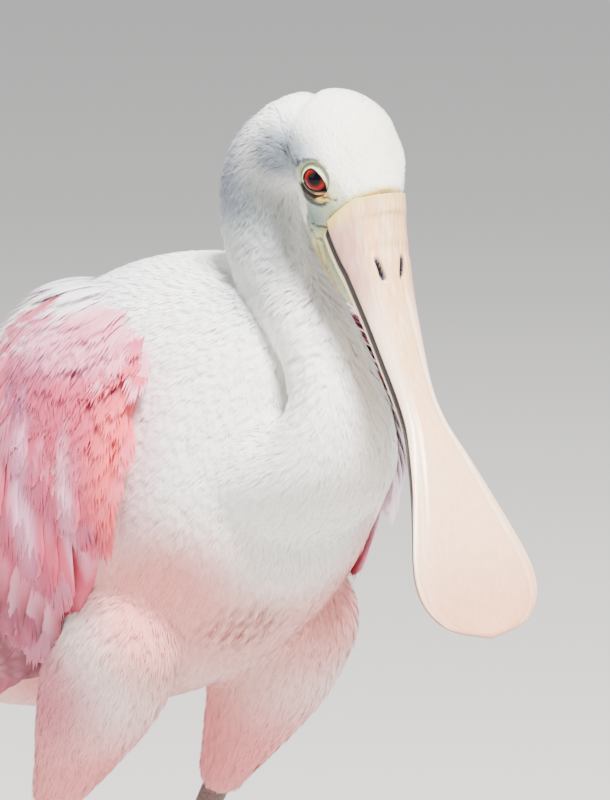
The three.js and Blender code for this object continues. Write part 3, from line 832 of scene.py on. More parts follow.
@dataclass(frozen=True)
class Tuft:
    """One kind of small feather: a fan of tapered barbs. Sizes are in mm.

    Attributes:
        length: from root to tip.
        width: of the whole fan.
        barbs: how many blades it has.
        lift: how far its tip stands off the skin.
        room: square mm of skin for each feather.
        ragged: how uneven the tips are, from 0 to 1.
        rings: sections of each barb between its root and tip.
        sway: how far the feathers turn from the lie, in degrees.
    """

    length: float
    width: float
    barbs: int
    lift: float
    room: float
    ragged: float = 0.25
    rings: int = 1
    sway: float = 8.0


@dataclass
class Frames:
    """Feathers' middle lines: three points each, with the normals there, and where each is baked."""

    points: Array
    normals: Array
    bake: Array
    scale: Array

    def only(self, some: Array) -> "Frames":
        """Some of the lines."""
        return Frames(self.points[some], self.normals[some], self.bake[some], self.scale[some])


def blade_triangles(rings: int) -> Array:
    """The triangles of a closed blade: its root, rings of three points, then its tip."""
    rows = []
    for p, q in ((1, 2), (2, 3), (3, 1)):
        rows.append((0, p, q))
        for ring in range(0, (rings - 1) * 3, 3):
            rows += [(ring + q, ring + p, ring + p + 3), (ring + q, ring + p + 3, ring + q + 3)]
        last = (rings - 1) * 3
        rows.append((last + q, last + p, last + 4))
    return np.array(rows)[:, ::-1]


def fans(frames: Frames, tuft: Tuft, colours: Callable[[Array, Array], Array], seed: int) -> Joined:
    """Small feathers as fans of barbs along their middle lines.

    Args:
        frames: the middle lines.
        tuft: the kind of feather.
        colours: gives the colour at the points and their share of the feather's length.
        seed: the random draw.

    Returns:
        The joined feathers, with shading normals close to the skin's.
    """
    rng = np.random.default_rng(SEED + seed)
    count, barbs, rings = len(frames.points), tuft.barbs, tuft.rings
    draw = lambda spread: rng.uniform(-spread, spread, (count, barbs, 1))
    # q is a barb's place across the fan, t the place along the barb and f the one along the feather
    q = np.linspace(-1, 1, barbs)[None, :, None] if barbs > 1 else np.zeros((1, 1, 1))
    q = q + draw(0.5 / barbs)
    t = np.linspace(0, 1, rings + 2)[None, None]
    start = 0.3 * (1 - np.abs(q)) * (barbs > 1) + draw(0.04)
    end = 1 - 0.28 * np.abs(q) ** 2 + draw(0.3 * tuft.ragged)
    f = start + (end - start) * t
    half = tuft.width / 2 * frames.scale[:, None, None]
    x = half * q * (0.15 + 0.85 * t**0.8) + draw(0.1 * tuft.ragged * tuft.width) * t
    # A feather's middle line is the parabola through its three points
    lagrange = lambda f: np.stack([(1 - f) * (1 - 2 * f), 4 * f * (1 - f), f * (2 * f - 1)], -1)
    slope = lambda f: np.stack([4 * f - 3, 4 - 8 * f, 4 * f - 1], -1)
    spine = np.einsum("nbtk,nkc->nbtc", lagrange(f), frames.points)
    way = unit(np.einsum("nbtk,nkc->nbtc", slope(f), frames.points))
    normal = unit(np.einsum("nbtk,nkc->nbtc", lagrange(np.clip(f, 0, 1)), frames.normals))
    across = unit(np.cross(way, normal))
    rise = np.clip(f, 0, 1.1) ** 0.75 * (1 - 0.35 * (q * t) ** 2)
    high = tuft.lift * (rise + draw(0.07) * t) - 0.6 * (1 - t)
    middle = spine + across * x[..., None] + normal * high[..., None]
    # Neighbouring barbs overlap, and each swells and tapers
    broad = tuft.width / barbs * (1.5 if barbs > 1 else 1.0) * frames.scale[:, None, None]
    broad = (broad * np.sin(math.pi * t) ** 0.5 * (1 + draw(0.2)))[:, :, 1:-1]
    thick = np.clip(0.2 * broad, 0.1, 0.35)
    body, out, side = middle[:, :, 1:-1], normal[:, :, 1:-1], across[:, :, 1:-1]
    edge = side * (broad / 2)[..., None]
    threefold = lambda one, three: np.concatenate(
        [one[:, :, :1], three.reshape(count, barbs, rings * 3, -1), one[:, :, -1:]], 2
    )
    points = threefold(middle, np.stack([body - edge, body + edge, body - out * thick[..., None]], -2))
    spread = lambda rows: threefold(rows, np.repeat(rows[:, :, 1:-1], 3, 2))
    along = spread(np.broadcast_to(f, middle.shape[:3])[..., None])[..., 0]
    aside = spread(np.broadcast_to(x / np.maximum(half, 0.1), middle.shape[:3])[..., None])[..., 0]
    # The shading stays close to the skin's, a little rounder across each feather and each barb
    lean = normal + 0.22 * across * (q * np.abs(q))[..., None]
    round_off = lean[:, :, 1:-1, None] + side[:, :, :, None] * np.array([-0.16, 0.16, 0.0])[:, None]
    lean = threefold(lean, round_off)
    size = points.shape[2]
    patch = np.stack([aside * 0.5, along - 0.5], -1) * PATCH
    bake = frames.bake[:, None, None, :] + patch
    triangles = blade_triangles(rings)[None] + (np.arange(count * barbs) * size)[:, None, None]
    flat = points.reshape(-1, 3)
    share = np.clip(along, 0, 1).reshape(-1)
    tint = 1 + np.repeat(rng.normal(0, 0.018, count * barbs), size)[:, None]
    tint = tint + np.repeat(rng.normal(0, 0.02, count), barbs * size)[:, None]
    return Joined(
        flat, triangles.reshape(-1, 3), colours(flat, share) * tint, np.clip(bake.reshape(-1, 2), 0, 1),
        unit(lean).reshape(-1, 3),
    )


class Coat:
    """The small feathers of head, neck, body and thighs."""

    def __init__(self, skin: Skin, lie: Lie) -> None:
        """Keeps what the feathers grow from, the way they lie and the parts' shares over the skin."""
        self.skin, self.lie = skin, lie
        self.middle = skin.corners.mean(1)
        self.part = self.lie.read(self.middle)[1].argmax(1)
        self.bare = bareness(self.middle)
        self.hidden = under_wing(self.middle)

    def frames(self, roots: Roots, length: Array, sway: float, seed: int) -> Frames:
        """Middle lines that follow the skin from the roots along the lie.

        Args:
            roots: where the feathers grow.
            length: of each feather.
            sway: how far they turn from the lie, in degrees.
            seed: the random draw.
        """
        rng = np.random.default_rng(SEED + seed)
        length = length * (1 + rng.uniform(-0.15, 0.15, len(length)))
        turn = np.radians(rng.normal(0, sway, len(length)))[:, None]
        points, normals = [roots.points], [roots.normals]
        for _ in range(2):
            here, out = points[-1], normals[-1]
            way = self.lie.read(here)[0]
            way = unit(way - dot(way, out)[:, None] * out)
            way = way * np.cos(turn) + np.cross(out, way) * np.sin(turn)
            place, out = self.skin.nearest(here + way * length[:, None] / 2)
            points.append(place)
            normals.append(out)
        return Frames(np.stack(points, 1), np.stack(normals, 1), roots.bake, np.ones(len(length)))

    def grow(self, name: str, tuft: Tuft, where: Array, seed: int, stretch: Callable | None = None) -> None:
        """Covers a region with feathers, in pieces that stay under the limit.

        Args:
            name: the piece's name.
            tuft: the kind of feather.
            where: for each triangle of the skin, whether they grow there.
            seed: the random draw.
            stretch: gives each feather's length at its root, as a share of the kind's own.
        """
        roots = self.skin.scatter(np.where(where, tuft.room, 0), seed)
        share = stretch(roots.points) if stretch else np.ones(len(roots.points))
        lines = self.frames(roots, tuft.length * share, tuft.sway, seed)
        lines.scale = share**0.5
        order = np.argsort(-roots.points[:, 2])
        most = PIECE_LIMIT // (tuft.barbs * len(blade_triangles(tuft.rings)))
        groups = np.array_split(order, math.ceil(len(order) / most))
        for k, some in enumerate(groups):
            label = name if len(groups) == 1 else f"{name}_{k + 1}"
            made = fans(lines.only(some), tuft, lambda points, share: plumage(points), seed + k)
            placed(label, made.mesh(), FINISHES["down"])

    def build(self) -> None:
        """Grows the coat region by region, smallest on the face."""
        ahead, _ = BIRD.head_place(self.middle)
        fore, up = -self.middle[:, 1], self.middle[:, 2]
        head, neck, torso, thigh = (self.part == part.value for part in Part)
        high = up > THROAT_UP
        chin = torso & high & (fore > THROAT_FORE)
        neck = neck | chin
        # The plumage thins out towards the bare skin instead of ending in a line
        edge = np.random.default_rng(SEED + 20).uniform(0.25, 0.8, len(self.bare))
        feathered = self.bare < edge
        near_eye = eye_distance(self.middle) < 15
        face = head & feathered & (near_eye | (ahead > -9))
        ragged = feathered & high & (fore < 108 - 0.7 * np.clip(up - 394, 0, 18)) & (head | neck)
        crown = head & feathered & ~face & ~ragged
        self.grow("coat_face", FACE_TUFT, face, 21)
        self.grow("coat_crown", CROWN_TUFT, crown, 22)
        self.grow("coat_nape", NAPE_TUFT, ragged, 23)
        self.grow("coat_neck", NECK_TUFT, neck & feathered & ~ragged, 24)
        self.grow("coat_body", BODY_TUFT, torso & ~chin & ~self.hidden, 25, breast_stretch)
        self.grow("coat_thighs", THIGH_TUFT, thigh & ~self.hidden, 26)


# Above and before these, what lies nearest to the torso's lines is throat
THROAT_UP = 345.0
THROAT_FORE = 100.0
FACE_TUFT = Tuft(3.2, 0.7, 1, 0.6, 0.26, ragged=0.3, sway=9)
CROWN_TUFT = Tuft(5.6, 1.7, 3, 0.7, 0.55, ragged=0.3, sway=6)
NAPE_TUFT = Tuft(9.5, 2.8, 5, 2.0, 1.5, ragged=0.7, sway=12)
NECK_TUFT = Tuft(12, 2.4, 5, 1.6, 1.25, ragged=0.5, sway=8)
BODY_TUFT = Tuft(18, 7.4, 9, 1.5, 5.4, ragged=0.25, sway=4.5)
THIGH_TUFT = Tuft(13, 5.0, 7, 1.9, 5.4, ragged=0.4, sway=8)


def breast_stretch(points: Array) -> Array:
    """Shorter feathers where the breast rises into the neck."""
    return 0.55 + 0.45 * ramp(points[:, 2] + 0.4 * points[:, 1], 250, 200)


# Markings


@dataclass(frozen=True)
class Patch:
    """A soft patch of colour on the plumage: its centre to the side, ahead and up, and its reach each way."""

    colour: str
    centre: tuple[float, float, float]
    reach: tuple[float, float, float]
    strength: float
    both: bool = False
    mottled: bool = False

    def share(self, points: Array) -> Array:
        """How much of the colour shows at points."""
        rows = points * (1, -1, 1)
        if self.both:
            rows = np.abs(rows * (1, 0, 0)) + rows * (0, 1, 1)
        away = np.linalg.norm((rows - self.centre) / self.reach, axis=1)
        share = self.strength * ramp(away, 1.2, 0.35)
        if self.mottled:
            share = share * np.clip(0.3 + 1.6 * ripple(points * (1.6, 1, 0.6), 6, 23), 0, 1)
        return share


PATCHES = [
    Patch("#fbf3dc", (0, 134, 400), (24, 20, 24), 0.6),
    # Painted shade: these five slate-blue and grey patches darken the back of the head, the nape and the back
    # of the neck
    Patch("#8d928e", (14, 92, 370), (16, 18, 22), 0.8, both=True),
    Patch("#52657c", (4, 76, 384), (30, 22, 32), 0.9, both=True),
    Patch("#66727f", (16, 105, 394), (13, 16, 13), 0.9, both=True),
    Patch("#7f8b97", (18, 119, 394), (11, 14, 10), 0.8, both=True),
    Patch("#b4b8b6", (12, 84, 350), (14, 22, 22), 0.7, both=True),
    Patch("#f28a84", (40, 70, 236), (36, 36, 40), 0.9, both=True),
    Patch("#f2a49c", (0, 74, 216), (56, 40, 34), 0.85),
    Patch("#e99a92", (0, -20, 192), (70, 110, 46), 0.85),
    Patch("#8c2412", (-9, 76, 226), (20, 20, 17), 0.95, mottled=True),
    # Painted shade: lavender over the upper back
    Patch("#dccdea", (34, -40, 330), (40, 90, 40), 0.75, both=True),
    Patch("#e9787a", (38, 10, 160), (34, 60, 74), 0.9, both=True),
    Patch("#fbc9d3", (52, 70, 290), (20, 14, 40), 0.7, both=True),
    # Painted shade: darker rose low on the flanks
    Patch("#d2566e", (56, 24, 204), (16, 34, 30), 0.8, both=True),
]


def plain(colour: str, items: Sequence) -> Array:
    """One colour for each of some items."""
    return np.tile(linear(colour), (len(items), 1))


def mixed(tint: Array, *layers: tuple[str, Array]) -> Array:
    """Tints moved towards one colour after another, each by its own share."""
    for colour, share in layers:
        tint = tint + (linear(colour) - tint) * np.asarray(share)[:, None]
    return tint


def eye_view(points: Array) -> tuple[Array, Array, Array]:
    """Places as seen from before the nearer eye: ahead of its middle, over it and out along its look."""
    eye = Eye(Side.RIGHT)
    looks, ahead, over = eye.axes()
    away = np.where(points[:, :1] > 0, points * (-1, 1, 1), points) - eye.centre
    return away @ ahead, away @ over, away @ looks


def eye_distance(points: Array) -> Array:
    """How far points are from the middle of the nearer eye's outer face."""
    x, y, out = eye_view(points)
    return np.sqrt(x**2 + y**2 + (out - 6) ** 2)


def lid_folds(x: Array, y: Array) -> Array:
    """The relief of the two folds under the eye and of the creases round them."""
    broad = ramp(x, -1.6, 0.4) * ramp(x, 6.8, 4.4)
    fold = lambda level, thick: np.exp(-(((y - level - 0.03 * (x - 2.5) ** 2) / thick) ** 2))
    radius, crease = np.hypot(x, y), 0.1 * np.sin(np.hypot(x, y) * 5.2)
    folds = 0.4 * fold(-5.1, 0.42) - 0.3 * fold(-5.9, 0.25) + 0.45 * fold(-6.9, 0.55)
    return broad * folds + crease * ramp(radius, 5, 7)


def eye_marks(points: Array, tint: Array) -> Array:
    """A tint with the marks of the lids and of the skin next to them, with painted shade in the deep fold
    under the eye and in the crease between the two lower folds.
    """
    x, y, out_of = eye_view(points)
    radius, phi = np.hypot(x, y), np.mod(np.degrees(np.arctan2(y, x)), 360)
    here = ramp(out_of, -3, 0)
    out = radius - Eye(Side.RIGHT).opening(phi)
    arc = lambda start, end, soft=8: ramp(phi, start - soft, start) * ramp(phi, end + soft, end)
    line = lambda level, thick: ramp(np.abs(out - level), thick, thick * 0.4)
    spot = lambda a, b, wide, high: ramp(np.hypot((x - a) / wide, (y - b) / high), 1.25, 0.6)
    upper = np.maximum(arc(0, 205), arc(335, 360))
    turns = [188, 200, 211, 226, 239, 262, 291, 311, 319, 330]
    far = through(turns, [5.4, 6.3, 7.4, 9.7, 10, 9.4, 9.6, 9.5, 11, 10.6], phi)
    near = through([188, 200, 230, 256, 284, 305, 319, 330], [5.2, 5.5, 6.9, 7.3, 8.3, 8.7, 10.2, 10.5], phi)
    # Painted shade: a near-black crescent in the deep fold under the eye
    dark = ramp(radius, near - 0.5, near + 0.3) * ramp(radius, far + 0.3, far - 0.3) * arc(194, 322)
    bend = y - 0.03 * (x - 2.5) ** 2

    def fold(level: float, thick: float, start: float, end: float) -> Array:
        """The share of a fold under the eye, between two places along it."""
        wide = ramp(np.abs(bend - level), thick, thick * 0.5)
        return wide * ramp(x, start - 0.7, start) * ramp(x, end + 0.9, end) * here

    return mixed(
        tint,
        ("#f7efcc", 0.9 * line(0.6, 0.42) * upper * here),
        ("#39402c", 0.8 * line(1.25, 0.3) * arc(150, 205) * here),
        ("#8b98ad", 0.6 * spot(-2.7, 5.8, 1.3, 0.6) * here),
        ("#3d2a18", 0.95 * arc(196, 318, 12) * ramp(out, 4.4, 3.0) * here),
        # Painted shade of the deep fold under the eye
        ("#0d120d", dark * here),
        ("#e9a878", 0.95 * fold(-5.1, 0.6, 0.2, 4.6)),
        ("#e8b94e", 0.95 * fold(-6.9, 0.75, 0.6, 5.4)),
        # Painted shade in the crease between the two folds
        ("#2b170c", 0.95 * fold(-5.95, 0.35, -0.6, 5.6)),
        ("#e3cf86", 0.6 * spot(7.6, -5.2, 2.6, 0.9) * here),
        ("#160f0c", 0.95 * ramp(out, 0.3, 0.12) * ramp(radius, 6.2, 5.8) * here),
    )


def bareness(points: Array) -> Array:
    """The share of bare skin: round the eyes, the lores and the sides of the throat."""
    ahead, over = BIRD.head_place(points)
    edge = through([-10, -3, 4, 12.8, 24, 34, 45], [-25.5, -28.5, -34, -41, -41, -38, -34], ahead)
    lores = ramp(ahead, -9, -5.5) * ramp(over, edge - 1, edge + 1) * ramp(over, -6.5, -10)
    x, y, out_of = eye_view(points)
    radius = np.hypot(x, y)
    rim = np.maximum(ramp(radius, 8.4, 6.8), ramp(radius, 12.0, 10.4) * ramp(y, -2.0, -4.5))
    return np.maximum(lores, rim * ramp(out_of, -5, -2))


def plumage(points: Array) -> Array:
    """The colour of the white plumage at points, with painted shade on the back of the head, the nape, the
    neck, the upper back and low on the flanks.
    """
    point, forward = BIRD.face_plane()
    line = ramp(np.abs((points - point) @ forward + 0.9), 2.0, 0.4)
    border = ("#efdf9a", 0.8 * line * ramp(points[:, 2], 362, 374))
    patches = [(patch.colour, patch.share(points)) for patch in PATCHES]
    return slate_marks(points, mixed(plain("#fbf7f1", points), *patches, border))


def slate_marks(points: Array, tint: Array) -> Array:
    """A tint with the slate brow over each eye and the flecks behind it."""
    x, y, out_of = eye_view(points)
    fleck = np.clip(0.5 + 1.9 * ripple(points, 2.2, 5), 0, 1)
    for a, b, wide, high in ((-6.5, 6.2, 3.4, 2.4), (-11, 7.4, 3.8, 2.6), (-15.5, 8.6, 4.5, 3)):
        cloud = ramp(np.hypot((x - a) / wide, (y - b) / high), 1.25, 0.4) * ramp(out_of, -11, -6)
        tint = mixed(tint, ("#222d3a", 0.9 * cloud * fleck))
    arch = y - 7.3 + 0.05 * (x + 0.2) ** 2
    brow = ramp(np.abs(arch), 0.95, 0.35) * ramp(x, -5.5, -3.5) * ramp(x, 4.2, 2.2) * ramp(out_of, -3, 0)
    return mixed(tint, ("#2f3a44", 0.85 * brow))


def bare_tint(points: Array) -> Array:
    """The colour of the skin: greenish where it is bare, with painted shade in the creases of the lores and
    round the eye, and the plumage's own under the coat.
    """
    ahead, over = BIRD.head_place(points)
    x, y, _ = eye_view(points)
    point, forward = BIRD.face_plane()
    wrinkle = np.clip(np.sin(over * 3.1 + 0.25 * ahead + 1.2 * ripple(points, 7, 31)), 0, 1)
    mint = mixed(
        plain("#b3be98", points),
        ("#d3d6bb", 0.8 * ramp(over, -16, -9)),
        ("#7f9193", 0.75 * ramp(np.hypot((x + 4) / 7, (y + 13) / 5), 1.2, 0.5)),
        ("#d8cf6a", 0.8 * ramp(np.hypot((ahead - 5.5) / 3.2, (over + 12.6) / 3.6), 1.2, 0.4)),
        ("#a2905c", 0.85 * ramp(ahead, 6, 13) * ramp(over, -25.5, -28)),
        ("#6b4a22", 0.8 * ramp(ahead, 3, 9) * ramp(over, -31, -35)),
        ("#dccf7c", 0.7 * ramp(np.abs((points - point) @ forward), 2.2, 0.3)),
        ("#7f8d84", 0.3 * wrinkle * ramp(eye_distance(points), 9, 12)),
        # Painted shade along the creases of the lores, with one rust line of the skin's own colour
        *((colour, crease_share(ahead, over, start, end, thick)) for start, end, colour, thick in CREASES),
    )
    share = bareness(points)[:, None]
    tint = plumage(points) * (1 - share) + mint * share
    return slate_marks(points, eye_marks(points, tint))


def crease_share(ahead: Array, over: Array, start: tuple, end: tuple, thick: float) -> Array:
    """How strongly the line of a crease from one place of the head's side to another shows, thinner at its
    ends; most such lines are painted shade.
    """
    run = np.subtract(end, start)
    along = np.clip(((ahead - start[0]) * run[0] + (over - start[1]) * run[1]) / (run @ run), 0, 1)
    away = np.hypot(ahead - start[0] - along * run[0], over - start[1] - along * run[1])
    bent = away + 0.25 * np.sin(ahead * 1.9) * (away < 3)
    width = thick * (0.4 + 0.6 * np.sin(math.pi * along))
    return 0.92 * ramp(np.abs(bent), width * 1.3, width * 0.5)


# Creases of the lores, drawn as lines: the dark and grey ones are painted shade in the creases, the rust one
# is the skin's own colour. Start and end ahead of and over the feather line, colour and thickness
CREASES = [
    ((3.4, -28.6), (6.6, -23.6), "#241519", 0.7), ((-0.5, -33.2), (6.3, -29.6), "#56615f", 0.5),
    ((6.3, -29.6), (13.5, -25.2), "#56615f", 0.45), ((7, -35), (17, -33.6), "#2c1810", 0.6),
    ((15, -34.4), (30, -30.4), "#9c4a22", 0.7), ((17, -28.4), (25, -28.2), "#6a6660", 0.35),
]


# The folded wings


def wing_top(back: Array) -> Array:
    """The wing's upper edge, in degrees down from the back."""
    return through([-90, -82, -65, -40, 0, 60, 120, 180, 252], [84, 66, 49, 38, 29, 22, 16, 14, 26], back)


def wing_low(back: Array) -> Array:
    """The wing's lower edge, in degrees down from the back."""
    backs = [-90, -84, -65, -39, -14, 20, 60, 100, 140, 190, 252]
    return through(backs, [94, 102, 113, 121, 129, 137, 130, 114, 96, 76, 46], back)


# How many degrees inside a wing's edges the body's own coat ends
WING_MARGIN = 7


def under_wing(points: Array) -> Array:
    """Whether points of the trunk or thighs lie under a folded wing."""
    back, rise = BIRD.trunk_place(points)
    form = BIRD.flank()
    place = np.clip(back - FLANK_FRONT, 0, form.length)
    sizes = through(form.places, form.sizes, place)
    rise = rise - through(form.places, (form.centres - at(0, 0, BIRD.body_height)) @ BIRD.body_axes[1], place)
    high = np.where(rise > 0, sizes[:, 1], sizes[:, 2])
    sides = (np.abs(points[:, 0]) / sizes[:, 0]) ** (form.power / 2)
    degrees = np.degrees(np.arctan2(sides, np.sign(rise) * (np.abs(rise) / high) ** (form.power / 2)))
    inside = (degrees > wing_top(back) + WING_MARGIN) & (degrees < wing_low(back) - WING_MARGIN)
    return inside & (back > -80) & (back < 160) & (points[:, 2] > 175)


class Surface:
    """A surface with two coordinates, on which large feathers are set."""

    def __init__(self, point: Callable[[Array, Array], Array], bake: Callable[[Array, Array], Array]) -> None:
        """Keeps the functions that give a point and a baking place from the two coordinates."""
        self.point, self.bake = point, bake

    def steps(self, a: Array, b: Array) -> tuple[Array, Array, Array, Array]:
        """The point, its change by each coordinate and the normal."""
        here = self.point(a, b)
        by_a, by_b = self.point(a + 0.5, b) - here, self.point(a, b + 0.5) - here
        return here, by_a * 2, by_b * 2, unit(np.cross(by_b, by_a))

    def along(self, a: Array, b: Array, degrees: Array, distance: Array) -> tuple[Array, Array]:
        """The coordinates at a distance from a place, in a direction turned from the first to the second."""
        _, by_a, by_b, _ = self.steps(a, b)
        turn = np.radians(degrees)
        first = distance * np.cos(turn) / np.linalg.norm(by_a, axis=-1)
        return a + first, b + distance * np.sin(turn) / np.linalg.norm(by_b, axis=-1)

    def frames(self, ends: Sequence[tuple], lifts: Sequence[float | Array], scale: Array) -> Frames:
        """Middle lines through three places of the surface, lifted off it."""
        points, normals = [], []
        for (a, b), lift in zip(ends, lifts):
            here, _, _, normal = self.steps(a, b)
            points.append(here + normal * np.broadcast_to(lift, a.shape)[:, None])
            normals.append(normal)
        return Frames(np.stack(points, 1), np.stack(normals, 1), self.bake(*ends[0]), scale)

    def bent(
        self, place: Array, turn: Array, bend: float, step: Array, lifts: Sequence, scale: Array,
    ) -> Frames:
        """Middle lines of two steps from each place, the second turned back by a few degrees."""
        middle = self.along(*place.T, turn, step)
        end = self.along(*middle, turn - bend, step)
        return self.frames([tuple(place.T), middle, end], lifts, scale)


@dataclass(frozen=True)
class Row:
    """A tier of large feathers, from the uppermost to the lowest.

    Attributes:
        count: how many feathers.
        web: half their width in mm.
        rise: how far they lie off the surface at the root, past it and at the tip.
        roots: the places of the first, middle and last root.
        tips: the places of the first, middle and last tip.
        fringe: barbs of the soft tip, 0 for none.
        tilt: how far each lies over the next, in mm.
        outer: the lower web's width as a share of the upper one.
    """

    count: int
    web: float
    rise: tuple[float, float, float]
    roots: tuple[tuple[float, float], ...]
    tips: tuple[tuple[float, float], ...]
    fringe: int = 13
    tilt: float = 0.9
    outer: float = 1.0


@dataclass
class Feathers:
    """Large feathers of one tier, ready to be meshed: roots, tips and the row they belong to."""

    surface: Surface
    row: Row
    root: Array
    tip: Array
    columns: int = 11
    rows: int = 16
    dive: float = 0.12
    thickness: float = 0.42
    shaft: float = 0.3
    wear: float = 0.035
    fringe_shares: tuple[float, float, float] = (0.45, 0.76, 1.06)

    def vanes(self, colours: Callable, seed: int) -> Joined:
        """The vanes as closed sheets with a raised shaft and a worn edge.

        Args:
            colours: gives the tint from points, share of length, place across the vane and a random number.
            seed: the random draw.
        """
        rng = np.random.default_rng(SEED + seed)
        count = len(self.root)
        # u is the place across the vane and f the one along it, closer together towards the tip
        u = np.linspace(-1, 1, self.columns)[None, None, :]
        v = np.linspace(0, 1, self.rows) ** 0.9
        v = (0.5 * v + 0.5 * np.sin(v * math.pi / 2))[None, :, None]
        f = np.broadcast_to(v, (count, self.rows, self.columns)) + 0.012 * u**2
        breadth = 0.5 + 0.5 * ramp(f, 0, 0.4)
        breadth = breadth * np.sqrt(np.clip(1 - np.clip((f - 0.7) / 0.312, 0, 1) ** 2.2, 0.02, 1))
        worn = 1 + rng.normal(0, self.wear, (count, self.rows, 1)) * np.abs(u) ** 3 * ramp(f, 0.3, 0.6)
        web = np.where(u < 0, self.row.web * self.row.outer, self.row.web)
        x = u * web * breadth * worn * (1 + rng.normal(0, 0.04, (count, 1, 1)))
        run_a, run_b = (self.tip - self.root).T[..., None, None]
        a, b = self.root[:, 0, None, None] + run_a * f, self.root[:, 1, None, None] + run_b * f
        _, by_a, by_b, normal = self.surface.steps(a, b)
        along = unit(by_a * run_a[..., None] + by_b * run_b[..., None])
        side = unit(np.cross(normal, along))
        a = a + x * dot(side, by_a) / dot(by_a, by_a)
        b = b + x * dot(side, by_b) / dot(by_b, by_b)
        # The root dives under the row before it, and the lower web tucks under the next feather
        sunk, low, high = self.row.rise
        lift = np.where(f < self.dive, sunk + (low - sunk) * f / self.dive, low + (high - low) * f)
        lift = lift - self.row.tilt * x / self.row.web - 0.5 * (x / self.row.web) ** 2
        lift = lift + rng.normal(0, 0.12, (count, 1, 1)) * f
        lift = lift + 0.12 * np.sin(x * 2.1 + rng.uniform(0, 6, (count, 1, 1))) * ramp(f, 0.3, 0.9)
        here, _, _, normal = self.surface.steps(a, b)
        shaft = self.shaft * (np.abs(u) < 1e-6) * (1 - 0.7 * f)
        thick = self.thickness * (1 - 0.6 * np.abs(u)) * (1 - 0.4 * f)
        top = here + normal * (lift + thick / 2 + shaft)[..., None]
        low_face = here + normal * (lift - thick / 2)[..., None]
        points = np.stack([top, low_face], 1).reshape(count, -1, 3)
        cells = sheet_triangles(self.rows, self.columns)
        triangles = cells[None] + (np.arange(count) * points.shape[1])[:, None, None]
        both = lambda rows: np.broadcast_to(rows[:, None], (count, 2, self.rows, self.columns)).reshape(-1)
        length = np.linalg.norm(self.surface.point(*self.tip.T) - self.surface.point(*self.root.T), axis=1)
        vane = np.stack([both(x), both(f * length[:, None, None])], -1) / 100
        across = np.broadcast_to(x / self.row.web, f.shape)
        patch = np.stack([both(across) * 0.5, both(f) - 0.5], -1) * PATCH
        bake = np.repeat(self.surface.bake(*self.root.T), points.shape[1], 0) + patch
        draw = np.repeat(rng.uniform(0, 1, count), points.shape[1])
        flat = points.reshape(-1, 3)
        return Joined(
            flat, triangles.reshape(-1, 3), colours(flat, both(f), both(across), draw), np.clip(bake, 0, 1),
            vane=vane,
        )

    def fringe(self, colours: Callable, seed: int) -> Joined | None:
        """The soft barbs over the tips, or None where the row has none."""
        if not self.row.fringe:
            return None
        rng = np.random.default_rng(SEED + seed)
        _, low, high = self.row.rise
        ends = [tuple((self.root + (self.tip - self.root) * f).T) for f in self.fringe_shares]
        lifts = [low + (high - low) * f + 0.5 for f in self.fringe_shares]
        frames = self.surface.frames(ends, lifts, np.ones(len(self.root)))
        tuft = Tuft(1, self.row.web * 1.8, self.row.fringe, 0.35, 0, ragged=0.35, rings=3)
        draw = np.repeat(rng.uniform(0, 1, len(self.root)), self.row.fringe * (tuft.rings * 3 + 2))
        tint = lambda points, share: colours(points, 0.45 + 0.6 * share, 0 * share, draw)
        return fans(frames, tuft, tint, seed)


def sheet_triangles(rows: int, columns: int) -> Array:
    """The triangles of a closed sheet whose two faces are grids of points."""
    cell = np.arange(rows * columns).reshape(rows, columns)
    a, b, c, d = cell[:-1, :-1], cell[:-1, 1:], cell[1:, 1:], cell[1:, :-1]
    top = np.concatenate([np.stack(three, -1).reshape(-1, 3) for three in ((a, b, c), (a, c, d))])
    rim = np.concatenate([cell[0, :-1], cell[:-1, -1], cell[-1, :0:-1], cell[:0:-1, 0]])
    after = np.roll(rim, -1)
    under = rows * columns
    halves = ((after, rim, rim + under), (after, rim + under, after + under))
    wall = np.concatenate([np.stack(three, -1) for three in halves])
    return np.concatenate([top, top[:, ::-1] + under, wall])[:, ::-1]


def row_ends(row: Row, scatter: float, seed: int) -> tuple[Array, Array]:
    """The roots and tips of a tier, spread through its first, middle and last feather."""
    rng = np.random.default_rng(SEED + seed)
    share = np.linspace(0, 1, row.count)
    marks = np.linspace(0, 1, len(row.roots))
    root, tip = through(marks, row.roots, share), through(marks, row.tips, share)
    tip = tip + rng.uniform(-0.5, 0.5, tip.shape) * (scatter, scatter * 0.35)
    return root, tip


COVERT_RISE = (-1.5, 1.2, 3.6)
WING_ROWS = {
    "primaries": Row(
        7, 9.5, (-2.0, 0.2, 0.8), ((118, 38), (108, 68), (90, 100)), ((250, 36), (222, 58), (166, 90)),
        fringe=0, outer=0.7,
    ),
    "secondaries": Row(
        13, 10.5, (-1.5, 0.8, 3.0), ((56, 28), (54, 70), (46, 118)), ((140, 28), (138, 64), (108, 108)),
        fringe=0, outer=0.8,
    ),
    "greater_coverts": Row(
        15, 9.5, COVERT_RISE, ((12, 32), (10, 78), (2, 124)), ((76, 36), (72, 84), (58, 127)),
    ),
    "median_coverts": Row(
        15, 9.0, COVERT_RISE, ((-18, 40), (-20, 78), (-26, 114)), ((30, 48), (26, 92), (16, 130)),
    ),
    "lesser_coverts": Row(
        14, 8.0, COVERT_RISE, ((-42, 44), (-44, 74), (-46, 104)), ((-4, 58), (-6, 92), (-14, 125)),
        fringe=15,
    ),
    "front_coverts": Row(
        12, 7.2, (-1.5, 1.0, 3.0), ((-62, 50), (-64, 76), (-64, 100)), ((-34, 68), (-34, 94), (-38, 119)),
        fringe=15,
    ),
}


